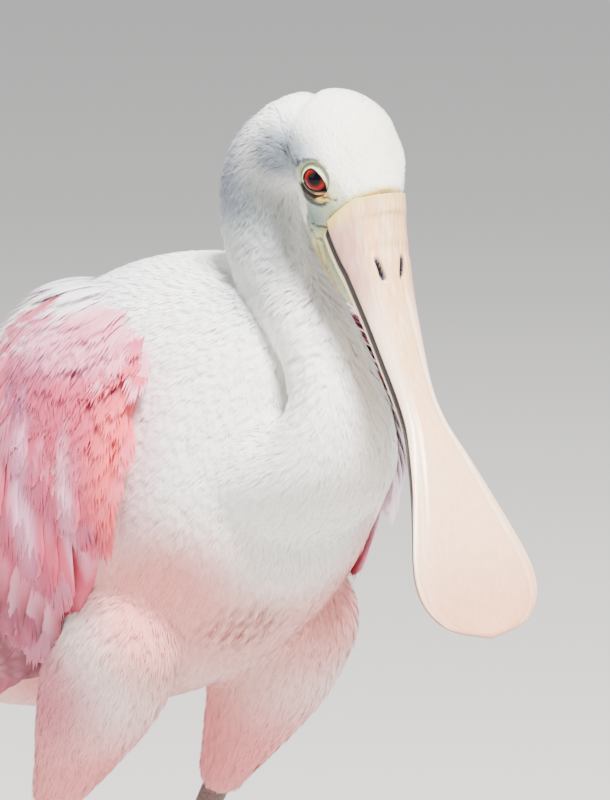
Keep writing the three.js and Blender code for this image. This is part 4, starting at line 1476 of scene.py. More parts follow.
@dataclass
class Wing:
    """A folded wing: its base on the body's side, tiers of flight feathers and coverts, and soft front."""

    side: Side
    front: float = -90.0
    tip: float = 252.0
    edge_sink: float = 4.5
    base_rows: tuple[int, int] = (24, 90)
    marginal_rows: int = 7
    marginal_back: tuple[float, float] = (-92.0, 34.0)
    marginal_gap: float = 3.4
    marginal_step: float = 8.5
    scapular_rows: int = 6
    scapular_back: tuple[float, float] = (-92.0, 96.0)
    scapular_gap: float = 4.6
    scapular_step: float = 14.0

    def surface(self) -> Surface:
        """The flank, by distance behind the body's middle and degrees down from the back."""
        form = BIRD.flank()
        point = lambda back, degrees: form.surface(back - FLANK_FRONT, np.radians(degrees))
        bake = lambda back, degrees: np.stack([(back - FLANK_FRONT) / 400, degrees / 190], -1)
        return Surface(point, bake)

    def turned(self, made: Joined) -> Joined:
        """The made feathers on this wing's side."""
        if self.side is Side.LEFT:
            # Painted light: the left wing's inner edge is whitened
            made.colours = mixed(made.colours, (FAR_EDGE_PAINTED_LIGHT.colour, FAR_EDGE_PAINTED_LIGHT.share(made.points)))
            return made
        return made.mirrored()

    def base(self, surface: Surface) -> None:
        """The wing's own body under its feathers."""
        across, along = self.base_rows
        bm = bmesh.new()
        bmesh.ops.create_grid(bm, x_segments=across, y_segments=along, size=0.5)
        rows = spots(bm) + 0.5
        back = self.front + (self.tip - self.front) * rows[:, 1]
        degrees = wing_top(back) + (wing_low(back) - wing_top(back)) * rows[:, 0]
        here, _, _, normal = surface.steps(back, degrees)
        edge = np.maximum.reduce([1 - rows[:, 0] / 0.2, np.zeros(len(rows)), 1 - rows[:, 1] / 0.08])
        outer = here - normal * (self.edge_sink * edge + 0.6)[:, None]
        depth = through([-90, -60, 0, 100, 150, 252], [5, 10, 12, 11, 4, 1.2], back)
        move(bm.verts, outer)
        bm.verts.index_update()
        bm.faces.ensure_lookup_table()
        made = bmesh.ops.extrude_face_region(bm, geom=list(bm.faces), use_keep_orig=True)
        move([v for v in made["geom"] if isinstance(v, BMVert)], outer - normal * depth[:, None])
        mesh = mesh_of(bm, mirror=self.side is Side.RIGHT)
        points = coordinates(mesh)
        tint = wing_tint(np.abs(points) * (1, 0, 0) + points * (0, 1, 1))
        # Painted light: the left wing's inner edge is whitened
        paint(mesh, "Tint", mixed(tint, (FAR_EDGE_PAINTED_LIGHT.colour, FAR_EDGE_PAINTED_LIGHT.share(points))))
        piece = placed(f"wing_{self.side.word}_base", mesh, FINISHES["down"])
        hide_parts(f"wing_{self.side.word}")

    def tiers(self, surface: Surface, seed: int) -> None:
        """The flight feathers and coverts, row by row."""
        parts, soft = [], []
        for k, row in enumerate(WING_ROWS.values()):
            tier = Feathers(surface, row, *row_ends(row, 4.0, seed + k))
            colours = covert_tint if row.fringe else flight_tint
            parts.append(tier.vanes(colours, seed + k))
            fringe = tier.fringe(colours, seed + k + 40)
            if fringe:
                soft.append(fringe)
        vanes, fringes = (self.turned(join(some)).mesh() for some in (parts, soft))
        placed(f"wing_{self.side.word}_vanes", vanes, FINISHES["vane"])
        placed(f"wing_{self.side.word}_fringes", fringes, FINISHES["down"])

    def marginals(self, surface: Surface, seed: int) -> None:
        """The small soft coverts along the wing's front."""
        rng = np.random.default_rng(SEED + seed)
        rows, kinds = [], []
        for k in range(self.marginal_rows):
            share = k / (self.marginal_rows - 1)
            back = self.marginal_back[0] + self.marginal_back[1] * share
            down = np.arange(wing_top(back) - 4, wing_low(back) + 1, self.marginal_gap)
            down = down + rng.uniform(-1, 1, len(down))
            rows.append(np.stack([back + rng.normal(0, 1.5, len(down)), down], -1))
            kinds.append(np.full(len(down), 0.75 + 0.5 * share))
        place, scale = np.concatenate(rows), np.concatenate(kinds)
        turn = 48 - 0.12 * (place[:, 1] - 80) + rng.normal(0, 6, len(place))
        sink = -3.5 * ramp(place[:, 0], -70, -90)
        lifts = [sink - 0.5, sink * 0.5 + 1.5, 2.6]
        frames = surface.bent(place, turn, 4, self.marginal_step * scale, lifts, scale)
        made = self.turned(fans(frames, MARGINAL_TUFT, lambda points, share: wing_tint(points), seed))
        placed(f"wing_{self.side.word}_marginals", made.mesh(), FINISHES["down"])

    def scapulars(self, surface: Surface, seed: int) -> None:
        """The white shoulder feathers that hang over the wing's upper edge."""
        rng = np.random.default_rng(SEED + seed)
        rows = []
        for k in range(self.scapular_rows):
            back = np.arange(*self.scapular_back, self.scapular_gap)
            back = back + rng.uniform(-2, 2, len(back))
            top = wing_top(back) - 24 + 5.5 * k
            rows.append(np.stack([back, np.maximum(top + rng.normal(0, 1, len(back)), 3)], -1))
        place = np.concatenate(rows)
        scale = 0.75 + 0.4 * ramp(place[:, 0], -90, 20)
        turn = 44 - 34 * ramp(place[:, 0], -60, 70) + rng.normal(0, 5, len(place))
        deep = -6.5 + 4.5 * ramp(place[:, 1] - wing_top(place[:, 0]), -20, 4)
        lifts = [deep, deep * 0.4 + 1.2, 2.8]
        frames = surface.bent(place, turn, 3, self.scapular_step * scale, lifts, scale)
        made = self.turned(fans(frames, SCAPULAR_TUFT, scapular_tint, seed))
        placed(f"scapulars_{self.side.word}", made.mesh(), FINISHES["down"])

    def build(self, seed: int) -> None:
        """Makes the whole wing."""
        surface = self.surface()
        self.base(surface)
        self.tiers(surface, seed)
        self.marginals(surface, seed + 80)
        self.scapulars(surface, seed + 90)


MARGINAL_TUFT = Tuft(17, 9, 13, 0.8, 0, ragged=0.35, rings=3)
SCAPULAR_TUFT = Tuft(28, 13, 17, 0.8, 0, rings=3)
# Broad patches of the wing's colour, the first of them painted shade that darkens the wing low down, and
# marks whose edges are flecked
WING_PATCHES = [
    # Painted shade: dark maroon low on the wing
    Patch("#64182a", (60, 10, 214), (34, 50, 36), 0.95, both=True),
    Patch("#fb5a62", (62, 78, 286), (18, 16, 54), 0.95, both=True),
    Patch("#fba4c6", (68, 50, 326), (22, 34, 12), 0.85, both=True),
    Patch("#f1bfe0", (72, 36, 272), (24, 6, 40), 0.65, both=True),
    Patch("#f7c9df", (70, 57, 266), (20, 4, 34), 0.55, both=True),
    Patch("#ec8fbd", (66, 6, 262), (24, 12, 36), 0.5, both=True),
]
WING_MARKS = [
    Patch("#93305f", (72, 30, 308), (16, 22, 15), 0.95, both=True),
    Patch("#6a0c18", (65, 67, 256), (12, 7, 11), 0.95, both=True),
    Patch("#6a0c18", (58, 48, 229), (14, 8, 11), 0.95, both=True),
]
# The left wing's inner edge, where it stands out past the breast, is given painted light that makes it almost
# white, on this wing only
FAR_EDGE_PAINTED_LIGHT = Patch("#fbeef7", (62, 72, 258), (34, 24, 96), 1.0)


def wing_tint(points: Array) -> Array:
    """The pink of the wing's small feathers at points, darkened low on the wing by painted shade."""
    fleck = np.clip(0.35 + 1.3 * ripple(points * (1, 1.4, 0.8), 5, 17), 0, 1)
    return mixed(
        plain("#cf4463", points),
        *((patch.colour, patch.share(points)) for patch in WING_PATCHES),
        ("#f493b2", 0.4 * np.clip(ripple(points * (1, 2.2, 0.7), 16, 9), 0, 1)),
        *((patch.colour, patch.share(points) * fleck) for patch in WING_MARKS),
    )


def covert_tint(points: Array, share: Array, across: Array, draw: Array) -> Array:
    """Coverts: pink, paler along the middle of some, with a rosier tip and shaft."""
    return mixed(
        wing_tint(points),
        ("#f6b6cf", 0.45 * ramp(draw, 0.5, 0.8) * ramp(np.abs(across), 1.0, 0.2)),
        ("#cf4a66", 0.35 * ramp(share, 0.75, 1.0)),
        ("#a83e60", 0.5 * ramp(np.abs(across), 0.1, 0.0)),
    )


def flight_tint(points: Array, share: Array, across: Array, draw: Array) -> Array:
    """Flight feathers: rosy, with a paler outer web and a rosy shaft, dusky at the young bird's wing tips."""
    back, _ = BIRD.trunk_place(points)
    return mixed(
        wing_tint(points),
        ("#f092a4", 0.5 * ramp(back, 70, 170)),
        ("#f19fb0", 0.35 * ramp(across, -0.2, 0.8)),
        ("#a83e5c", 0.6 * ramp(np.abs(across), 0.12, 0.0)),
        ("#4f4448", 0.8 * ramp(back, 205, 245) * ramp(share, 0.6, 0.9)),
    )


def scapular_tint(points: Array, share: Array) -> Array:
    """Scapulars: white with patches of painted lavender shade, pinker at their tips."""
    border = points[:, 2] - 314 - 1.08 * (-points[:, 1] - 22)
    return mixed(
        plain("#fdf3f7", points),
        # Painted shade: lavender in soft random patches
        ("#dcd0e4", 0.4 * np.clip(ripple(points, 24, 3), 0, 1)),
        ("#fb9fb6", 0.3 * ramp(share, 0.7, 1.0)),
        ("#f0708e", 0.8 * ramp(border, 7, -9) * ramp(-points[:, 1], 4, 22)),
    )


@dataclass
class Tail:
    """Twelve tail feathers that fan a little, the middle pair on top, and their base."""

    length: float = 104.0
    root: float = 142.0
    over: float = 5.0
    pairs: int = 6
    root_step: float = 2.4
    fan_step: float = 2.3

    def build(self, seed: int) -> None:
        """Makes the base and the feathers."""
        base = mesh_of(sphere_on(BIRD.tail_base(), 48, 40, -0.5))
        paint(base, "Tint", plain("#f0cdcf", base.vertices))
        piece = placed("tail_base", base, FINISHES["down"])
        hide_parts("tail")
        along, over = BIRD.body_axes
        point = lambda back, out: (
            at(0, 0, BIRD.body_height) - along * back[..., None] + LEFT * out[..., None] + over * self.over
        )
        bake = lambda back, out: np.stack([(back - self.root) / 130, out / 60 + 0.5], -1)
        surface = Surface(point, bake)
        parts = []
        for side in Side:
            k = np.arange(self.pairs)
            fan = np.radians(self.fan_step * (k + 0.5))
            length = self.length - 1.8 * k
            reach = self.root_step * (k + 0.5)
            root = np.stack([np.full(self.pairs, self.root), side.value * reach], -1)
            ends = [self.root + length * np.cos(fan), side.value * (reach + length * np.sin(fan))]
            tip = np.stack(ends, -1)
            levels = 3.2 - 0.75 * k + (0.4 if side is Side.LEFT else 0)
            for j, level in enumerate(levels):
                row = Row(1, 9.0, (level, level, level + 0.3), (), (), fringe=0, tilt=-0.4 * side.value)
                feather = Feathers(surface, row, root[j : j + 1], tip[j : j + 1])
                parts.append(feather.vanes(tail_tint, seed + j))
        placed("tail_vanes", join(parts).mesh(), FINISHES["vane"])


def tail_tint(points: Array, share: Array, across: Array, draw: Array) -> Array:
    """Tail feathers: pale blush with a rosy shaft and a paler edge."""
    return mixed(
        plain("#f7a3a6", points),
        ("#fbd8d3", 0.6 * ramp(np.abs(across), 0.3, 1.0)),
        ("#a9485a", 0.6 * ramp(np.abs(across), 0.12, 0.0)),
    )


# Bill, eyes and legs


def bill_width(ahead: Array) -> Array:
    """Half the bill's width at distances ahead of the feather line."""
    places = [-6, 8, 24, 40, 56, 70, 82, 95, 108, 120, 130, 139, 147, 153, 157.5, 160]
    sizes = [14.4, 14.5, 13.2, 11, 9.2, 8, 8.8, 12.6, 16.7, 20.7, 24, 25.6, 24.2, 19.6, 12.4, 3]
    return through(places, sizes, ahead * 160 / BIRD.bill_length)


def culmen(ahead: Array) -> Array:
    """How far the bill's top is over its line."""
    places = [-6, 0, 8, 20, 28, 40, 70, 100, 130, 160]
    return through(places, [0.5, -0.2, -3, -6.8, -8.8, -10, -8.8, -3.9, -1.6, -0.6], ahead)


def upper_depth(ahead: Array) -> Array:
    """The depth of the upper half."""
    places = [-6, 8, 20, 26, 40, 68, 93, 120, 150, 160]
    return through(places, [21, 17, 11.6, 8.6, 5.8, 4.3, 3.4, 2.7, 2.3, 1.6], ahead)


def lower_depth(ahead: Array) -> Array:
    """The depth of the lower half."""
    places = [-6, 10, 27, 45, 93, 120, 140, 155, 160]
    return through(places, [9, 9, 8.2, 6.8, 5, 3.8, 3, 2.2, 1.4], ahead)


@dataclass
class Bill:
    """The spoon-shaped bill: an upper and a lower half with wrinkled roots, nostrils and a thin rim."""

    around: int = 200
    along: int = 300
    nostril_side: float = 4.6
    nostril: tuple[float, float] = (21.2, 30.6)
    groove_depth: float = 0.45
    wrinkle: float = 0.13

    def upper_form(self) -> Form:
        """The upper half as a form along the bill's line."""
        ahead = np.linspace(0.2, BIRD.bill_length, 40)
        depth = upper_depth(ahead)
        rows = zip(ahead, culmen(ahead) - depth + 0.3, bill_width(ahead), depth - 0.3, [0.3] * 40)
        return BIRD.on_bill(list(rows), (0.5, 2.2), 2.2)

    def lower_form(self) -> Form:
        """The lower half as a form along the bill's line."""
        ahead = np.linspace(4, BIRD.bill_length - 1.5, 36)
        tomium = culmen(ahead) - upper_depth(ahead) - BIRD.gape_opening
        rows = zip(ahead, tomium - 0.3, bill_width(ahead) - 0.9, [0.3] * 36, lower_depth(ahead) - 0.3)
        return BIRD.on_bill(list(rows), (6, 2.2), 2.8)

    def groove(self, ahead: Array) -> Array:
        """How far to the side the long groove from each nostril runs."""
        share = through([20, 40, 70, 100, 130, 150, 158], [0.33, 0.42, 0.6, 0.72, 0.8, 0.84, 0.8], ahead)
        return np.maximum(share * bill_width(ahead), self.nostril_side)

    def carve_upper(self, points: Array) -> Array:
        """The upper half's skin with its ridge, nostrils, grooves, wrinkles and rim."""
        ahead, over = BIRD.head_place(points)
        x = np.abs(points[:, 0])
        share = x / bill_width(ahead)
        top = ramp(over - culmen(ahead) + upper_depth(ahead), 1.0, 2.5)
        ridge = 0.7 * np.exp(-((x / 3.0) ** 2)) * ramp(ahead, 70, 20) * ramp(ahead, 0, 12)
        line = np.exp(-(((x - self.groove(ahead)) / 0.8) ** 2)) * ramp(ahead, 20, 30)
        slit = np.exp(-(((x - self.slit_side(ahead)) / 0.62) ** 2)) * self.slit_range(ahead)
        waves = np.sin(x * 3.4 + 1.5 * ripple(points, 9, 2)) + 0.6 * ripple(points * (1.6, 0.5, 0.5), 2.4, 8)
        wrinkles = self.wrinkle * waves * ramp(ahead, 46, 12)
        rim = 0.7 * ramp(share, 0.86, 1.0) * ramp(ahead, 96, 125)
        dish = 0.55 * ramp(share, 0.8, 0.2) * ramp(ahead, 100, 130) * ramp(ahead, 158, 150)
        lift = ridge - self.groove_depth * line - 2.4 * slit + wrinkles + rim - dish
        return points + BIRD.bill_axes[1] * (lift * top)[:, None]

    def slit_side(self, ahead: Array) -> Array:
        """The nostril's place to the side, which widens a little downwards."""
        return self.nostril_side - 0.26 * (ahead - 26)

    def slit_range(self, ahead: Array) -> Array:
        """The nostril's share along the bill, pointed at both ends."""
        start, end = self.nostril
        return ramp(ahead, start, start + 2.5) * ramp(ahead, end, end - 2.5)

    def upper_tint(self, points: Array) -> Array:
        """Pinkish beige horn with pale grooves and a thin rim, with painted shade on its sides near the root,
        in the nostril slits and along the gape.
        """
        ahead, over = BIRD.head_place(points)
        x = np.abs(points[:, 0])
        share = x / bill_width(ahead)
        edge = over - (culmen(ahead) - upper_depth(ahead))
        fine = lambda size, seed: np.clip(1.6 * ripple(points * (3, 0.45, 0.45), size, seed), 0, 1)
        groove = np.exp(-(((x - self.groove(ahead) - 0.9) / 0.9) ** 2)) * ramp(ahead, 30, 40)
        slit = np.exp(-(((x - self.slit_side(ahead)) / 0.85) ** 2)) * self.slit_range(ahead)
        # Painted shade: darker mauve on the bill's sides near its root
        painted_side_shade = ramp(share, 0.5, 0.85) * ramp(ahead, 60, 30) * ramp(ahead, 4, 12)
        flank = ramp(share, 0.45, 0.8) * ramp(ahead, 110, 70) * ramp(ahead, 26, 50)
        rim = ramp(share, 0.93, 0.985) * ramp(ahead, 104, 118)
        under = ramp(edge, 1.0, 0.4) * ramp(ahead, 120, 140)
        return mixed(
            plain("#f3c08c", points),
            ("#f6c7a2", ramp(ahead, 50, 110)),
            ("#e79a80", 0.6 * fine(6, 4) * ramp(ahead, 70, 30)),
            ("#f6d07a", 0.65 * fine(5, 6) * ramp(ahead, 60, 15)),
            ("#fbe7cf", 0.6 * fine(4, 12) * ramp(ahead, 120, 20)),
            ("#fbe9cc", 0.55 * groove),
            ("#bd8a84", 0.75 * painted_side_shade),
            ("#f9dfcd", 0.6 * flank),
            ("#e3c56a", 0.6 * ramp(share, 0.7, 1.0) * ramp(ahead, 11, 5)),
            # Painted shade: the nostril slits blue-black
            ("#141829", np.clip(2.2 * slit, 0, 1)),
            ("#dcc877", 0.6 * ramp(ahead, 5.5, 2.5)),
            ("#e09a76", 0.7 * ramp(ahead, 115, 155)),
            # Painted shade of the gape: the upper half's biting edge is near-black
            ("#20090e", ramp(edge, 0.95, 0.6) * ramp(ahead, 150, 128)),
            ("#f6dcc4", 0.8 * rim),
            ("#8a3f26", 0.85 * under),
        )

    def lower_tint(self, points: Array) -> Array:
        """Cream horn with a yellowish root, and a near-black band of painted shade along its top, in the
        gape.
        """
        ahead, over = BIRD.head_place(points)
        edge = over - (culmen(ahead) - upper_depth(ahead) - BIRD.gape_opening)
        return mixed(
            plain("#eec898", points),
            ("#cdb777", 0.7 * ramp(ahead, 40, 12)),
            ("#f9e2b4", 0.85 * ramp(np.abs(edge + 3.5), 1.4, 0.4)),
            ("#8f8a78", 0.6 * ramp(np.abs(edge + 5.2), 0.5, 0.15) * ramp(ahead, 60, 30)),
            ("#e9ac8f", 0.6 * ramp(ahead, 80, 120)),
            # Painted shade of the gape: a near-black band along the lower half's top
            ("#0e0405", ramp(edge, -2.6, -2.2) * ramp(ahead, 150, 120)),
        )

    def build(self) -> None:
        """Makes both halves."""
        for name, form, tint in (
            ("bill_upper", self.upper_form(), self.upper_tint),
            ("bill_lower", self.lower_form(), self.lower_tint),
        ):
            bm = sphere_on(form, self.around, self.along)
            if name == "bill_upper":
                cut_at_face(bm, 0.4, clear_inner=True)
            mesh = mesh_of(bm)
            points = coordinates(mesh)
            paint(mesh, "Tint", tint(points))
            if name == "bill_upper":
                reshape(mesh, self.carve_upper(points))
            piece = placed(f"{name}_horn", mesh, FINISHES["horn"])
            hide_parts(name)


@dataclass
class Eye:
    """An eyeball with a wet, bulging front, and the lids round it."""

    side: Side
    segments: int = 72
    cornea: float = 0.35
    lid_outer: float = 10.6
    lid_grid: tuple[int, int] = (44, 132)
    probe: tuple[float, float] = (14.0, 30.0)
    gaze: tuple[float, float] = (0.17, 0.1)

    @property
    def centre(self) -> Array:
        """The middle of the eyeball, which sits a little deeper and further back than its solid."""
        return BIRD.eye_centre(self.side) + np.array([-0.7 * self.side.value, 2.4, -0.6])

    def axes(self) -> tuple[Array, Array, Array]:
        """The look, and the directions ahead of and over it."""
        looks = BIRD.eye_looks(self.side)
        ahead = at(0, 1, 0)
        ahead = unit(ahead - ahead @ looks * looks)
        over = np.cross(looks, ahead)
        return looks, ahead, over if over[2] > 0 else -over

    def opening(self, phi: Array) -> Array:
        """The lids' opening radius at degrees round the eye, from ahead towards the top."""
        marks = [0, 16, 48, 86, 98, 141, 176, 206, 234, 265, 292, 306, 314, 322, 344, 360]
        sizes = [4.05, 3.75, 3.5, 3.95, 4.1, 4.1, 4.3, 3.6, 3.4, 3.7, 4.4, 5.1, 5.5, 5.2, 4.6, 4.05]
        return through(marks, sizes, np.mod(phi, 360))

    def ball(self) -> None:
        """The eyeball, with its angle off the look as an attribute and a painted shadow of the lids in its
        Tint.
        """
        looks, ahead, over = self.axes()
        bm = bmesh.new()
        bmesh.ops.create_uvsphere(bm, u_segments=self.segments, v_segments=self.segments, radius=1.0)
        rows = spots(bm)
        off = np.arccos(np.clip(rows[:, 2], -1, 1))
        radius = BIRD.eye_radius - 0.1 + self.cornea * ramp(off, math.radians(48), 0)
        basis = np.stack([ahead, over, looks])
        move(bm.verts, self.centre + (rows @ basis) * radius[:, None])
        mesh = mesh_of(bm)
        away = unit(coordinates(mesh) - self.centre)
        gaze = unit(looks + ahead * self.gaze[0] + over * self.gaze[1])
        # Painted shadow of the lids: the eyeball darkens towards its upper front
        painted_lid_shadow = 1 - 0.75 * ramp(away @ ahead + away @ over, 0.1, 0.75)
        paint(mesh, "Tint", np.repeat(painted_lid_shadow[:, None], 3, 1))
        angle = (np.degrees(np.arccos(np.clip(away @ gaze, -1, 1))) / 90).astype(np.float32)
        mesh.attributes.new("Gaze", "FLOAT", "POINT").data.foreach_set("value", angle)
        piece = placed(f"eyeball_{self.side.word}", mesh, FINISHES["eye"])
        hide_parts(f"eye_{self.side.word}")

    def lids(self, skin: Skin) -> None:
        """The lids: a soft ring whose inner edge lies on the eye and whose outer edge sinks into the skin."""
        looks, ahead, over = self.axes()
        bm = bmesh.new()
        rings, around = self.lid_grid
        for vertex in bmesh.ops.create_circle(bm, cap_ends=False, segments=rings, radius=1.0)["verts"]:
            vertex.co = (2 + vertex.co.x, 0, vertex.co.y)
        bmesh.ops.spin(
            bm, geom=list(bm.verts) + list(bm.edges), cent=(0, 0, 0), axis=(0, 0, 1), angle=math.tau,
            steps=around, use_merge=True,
        )
        bmesh.ops.remove_doubles(bm, verts=bm.verts, dist=1e-5)
        x, y, z = spots(bm).T
        phi, theta = np.arctan2(y, x), np.arctan2(z, np.hypot(x, y) - 2)
        share = 1 - np.abs(theta) / math.pi
        opening = self.opening(np.degrees(phi))
        radius = opening + (self.lid_outer - opening) * share
        x, y = radius * np.cos(phi), radius * np.sin(phi)
        places = self.centre + ahead * x[:, None] + over * y[:, None]
        # How high the skin lies is felt by rays that come in along the look
        high, far = self.probe
        starts = places + looks * high
        hits = [skin.tree.ray_cast(p, (-looks).tolist(), far) for p in starts.tolist()]
        ground = np.array([high - h[3] if h[0] is not None else 0 for h in hits])
        reach = BIRD.eye_radius + self.cornea * 0.4
        on_eye = np.sqrt(np.maximum(reach**2 - radius**2, 0)) + 0.12
        outer = ramp(share, 0.1, 0.95)
        height = on_eye * (1 - outer) + (ground - 0.3) * outer
        height = height + 0.35 * np.sin(np.clip(share / 0.4, 0, 1) * math.pi) + lid_folds(x, y)
        height = height - np.where(theta < 0, 0.9, 0) * np.sin(share * math.pi) ** 0.5
        move(bm.verts, places + looks * height[:, None])
        mesh = mesh_of(bm)
        paint(mesh, "Tint", bare_tint(coordinates(mesh)))
        placed(f"lids_{self.side.word}", mesh, FINISHES["skin"])

    def build(self, skin: Skin) -> None:
        """Makes the eyeball and its lids."""
        self.ball()
        self.lids(skin)


@dataclass(frozen=True)
class Toe:
    """A toe: its turn from straight ahead in degrees, its length and its claw's."""

    turn: float
    length: float
    claw: float

    def on(self, distance: float, up: float) -> Array:
        """A point along the toe at a height over the floor."""
        angle = math.radians(self.turn)
        side, fore, _ = BIRD.foot
        return at(side + distance * math.sin(angle), fore + distance * math.cos(angle), up)

    def flesh(self) -> Form:
        """The toe, with a pad at each of its joints."""
        stations = [Station(self.on(-4, 5.5), 4.6, 5, 5)]
        for share, swell in ((0.12, 1.12), (0.3, 0.94), (0.42, 1.14), (0.58, 0.92), (0.7, 1.1), (0.86, 0.95)):
            place = share * (self.length - self.claw)
            side = (4.3 - 1.3 * share) * swell
            stations.append(Station(self.on(place, 4.4 - 1.1 * share), side, (4 - 1.2 * share) * swell, 4.6))
        stations.append(Station(self.on(self.length - self.claw * 0.9, 2.9), 2.2, 2.2, 2.7))
        return Form(stations, (3, 3))

    def nail(self) -> Form:
        """The claw, curved down to the floor."""
        rows = ((-1.5, 3.4, 1.5, 1.5, 1.6), (2, 3.6, 1.4, 1.4, 1.5), (5.5, 2.6, 0.9, 0.9, 1.0))
        start = self.length - self.claw
        stations = [Station(self.on(start + place, up), *sizes) for place, up, *sizes in rows]
        stations.append(Station(self.on(self.length, 0.9), 0.3, 0.3, 0.3))
        return Form(stations, (1.5, 1.0))


TOES = [Toe(3, 82, 8), Toe(-27, 64, 7), Toe(33, 72, 7), Toe(172, 40, 8)]


@dataclass
class Leg:
    """A bare leg: the scaled shank with its heel joint, the foot with small webs, and four claws.

    Attributes:
        side: which leg.
        web_reach: how far the webs run along the toes.
        web_notch: how far their edge lies between the toes.
        web_up: their underside's height.
        web_thick: their thickness.
        hub: the size of the ball in which the toes meet.
        voxel: the grain of the foot's skin.
        scute: the spacing of the shank's scales.
    """

    side: Side
    web_reach: float = 28.0
    web_notch: float = 18.0
    web_up: float = 1.6
    web_thick: float = 1.8
    hub: float = 7.0
    voxel: float = 0.9
    scute: float = 4.2

    def web(self, a: Toe, b: Toe) -> Mesh:
        """The small web between two toes, as a thin bent plate."""
        bm = bmesh.new()
        up = self.web_up
        first, last = a.on(self.web_reach, up), b.on(self.web_reach, up)
        middle = Toe((a.turn + b.turn) / 2, 0, 0).on(self.web_notch, up)
        bends = [first * (1 - f) ** 2 + last * f**2 + middle * 2 * f * (1 - f) for f in (0.25, 0.5, 0.75)]
        outline = [a.on(0, up), first, *bends, last]
        face = bm.faces.new([bm.verts.new(to_frame(p)) for p in outline])
        made = bmesh.ops.extrude_face_region(bm, geom=[face], use_keep_orig=True)
        lifted = [v for v in made["geom"] if isinstance(v, BMVert)]
        bmesh.ops.translate(bm, vec=(0, 0, self.web_thick * MM), verts=lifted)
        return mesh_of(bm)

    def ringed(self, points: Array) -> Array:
        """The leg's skin with the low edges of its scutes."""
        up = points[:, 2]
        scute = 0.16 * np.abs(np.sin(up * math.pi / self.scute)) * ramp(up, 16, 24)
        middle = BIRD.shank()
        axis = through(middle.places, middle.centres, np.interp(-up, -middle.centres[:, 2], middle.places))
        out = unit((points - axis) * (1, 1, 0))
        front = ramp(-out[:, 1], -0.2, 0.5)
        return points + out * (scute * front)[:, None]

    def build(self) -> None:
        """Makes the shank, the foot and the claws."""
        name = self.side.word
        shank = mesh_of(sphere_on(BIRD.shank(), 64, 220))
        piece = self.skinned(f"leg_{name}_shank", shank, self.ringed(coordinates(shank)))
        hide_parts(f"shank_{name}")
        hub = bmesh.new()
        bmesh.ops.create_uvsphere(hub, u_segments=32, v_segments=24, radius=self.hub * MM)
        side, fore, _ = BIRD.foot
        bmesh.ops.translate(hub, vec=to_frame(at(side, fore, self.hub)), verts=hub.verts)
        middle, inner, outer, _ = TOES
        meshes = [mesh_of(sphere_on(t.flesh(), 32, 80)) for t in TOES]
        meshes += [mesh_of(hub), self.web(middle, inner), self.web(middle, outer)]
        foot = fused(meshes, self.voxel, 3)
        points = coordinates(foot)
        points[:, 2] = np.maximum(points[:, 2], 0.0)
        along = np.hypot(points[:, 0] - side, -points[:, 1] - fore)
        points[:, 2] += 0.14 * np.abs(np.sin(along * math.pi / 3.0)) * ramp(points[:, 2], 2.5, 4)
        piece = self.skinned(f"leg_{name}_foot", foot, points)
        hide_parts(f"foot_{name}")
        for k, toe in enumerate(TOES):
            claw = mesh_of(sphere_on(toe.nail(), 24, 30), mirror=self.side is Side.RIGHT)
            paint(claw, "Tint", plain("#3b3230", claw.vertices))
            placed(f"claw_{name}_{k + 1}", claw, FINISHES["horn"])

    def skinned(self, name: str, mesh: Mesh, points: Array) -> Object:
        """Places a bare part of the left leg, with its vertices at new points, on this leg's side."""
        if self.side is Side.RIGHT:
            points = points * (-1, 1, 1)
            mesh.flip_normals()
        reshape(mesh, points)
        paint(mesh, "Tint", leg_tint(points))
        return placed(name, mesh, FINISHES["leg"])


def leg_tint(points: Array) -> Array:
    """Slaty rose leg skin, darker at the heel joint and the toes."""
    return mixed(
        plain("#57443f", points),
        ("#6e4844", 0.5 * np.clip(ripple(points, 18, 7), 0, 1)),
        ("#2f2726", 0.6 * ramp(np.abs(points[:, 2] - BIRD.heel[2]), 14, 4)),
        ("#3a302e", 0.6 * ramp(points[:, 2], 16, 4)),
    )


# Finishes


def plug(tree: NodeTree, node: Node, inputs: dict | None, links: dict | None) -> None:
    """Sets values of a node's sockets, and feeds others from sockets or from nodes' first outputs."""
    for socket, value in (inputs or {}).items():
        node.inputs[socket].default_value = value
    for socket, source in (links or {}).items():
        if isinstance(source, Node):
            source = source.outputs[0]
        tree.links.new(source, node.inputs[socket])


def add(
    tree: NodeTree, kind: str, inputs: dict | None = None, links: dict | None = None,
    **settings: str,
) -> Node:
    """Adds a node to a material.

    Args:
        tree: the material's node tree.
        kind: the node's type, without its first words.
        inputs: values of its sockets.
        links: what feeds its other sockets.
        settings: its other settings.

    Returns:
        The node.
    """
    node = tree.nodes.new("ShaderNode" + kind)
    for name, value in settings.items():
        setattr(node, name, value)
    plug(tree, node, inputs, links)
    return node


def fresh(name: str) -> tuple[Material, NodeTree, Node]:
    """A new material with its tree and its shader."""
    material = bpy.data.materials.new(name)
    material.use_nodes = True
    tree = material.node_tree
    return material, tree, tree.nodes["Principled BSDF"]


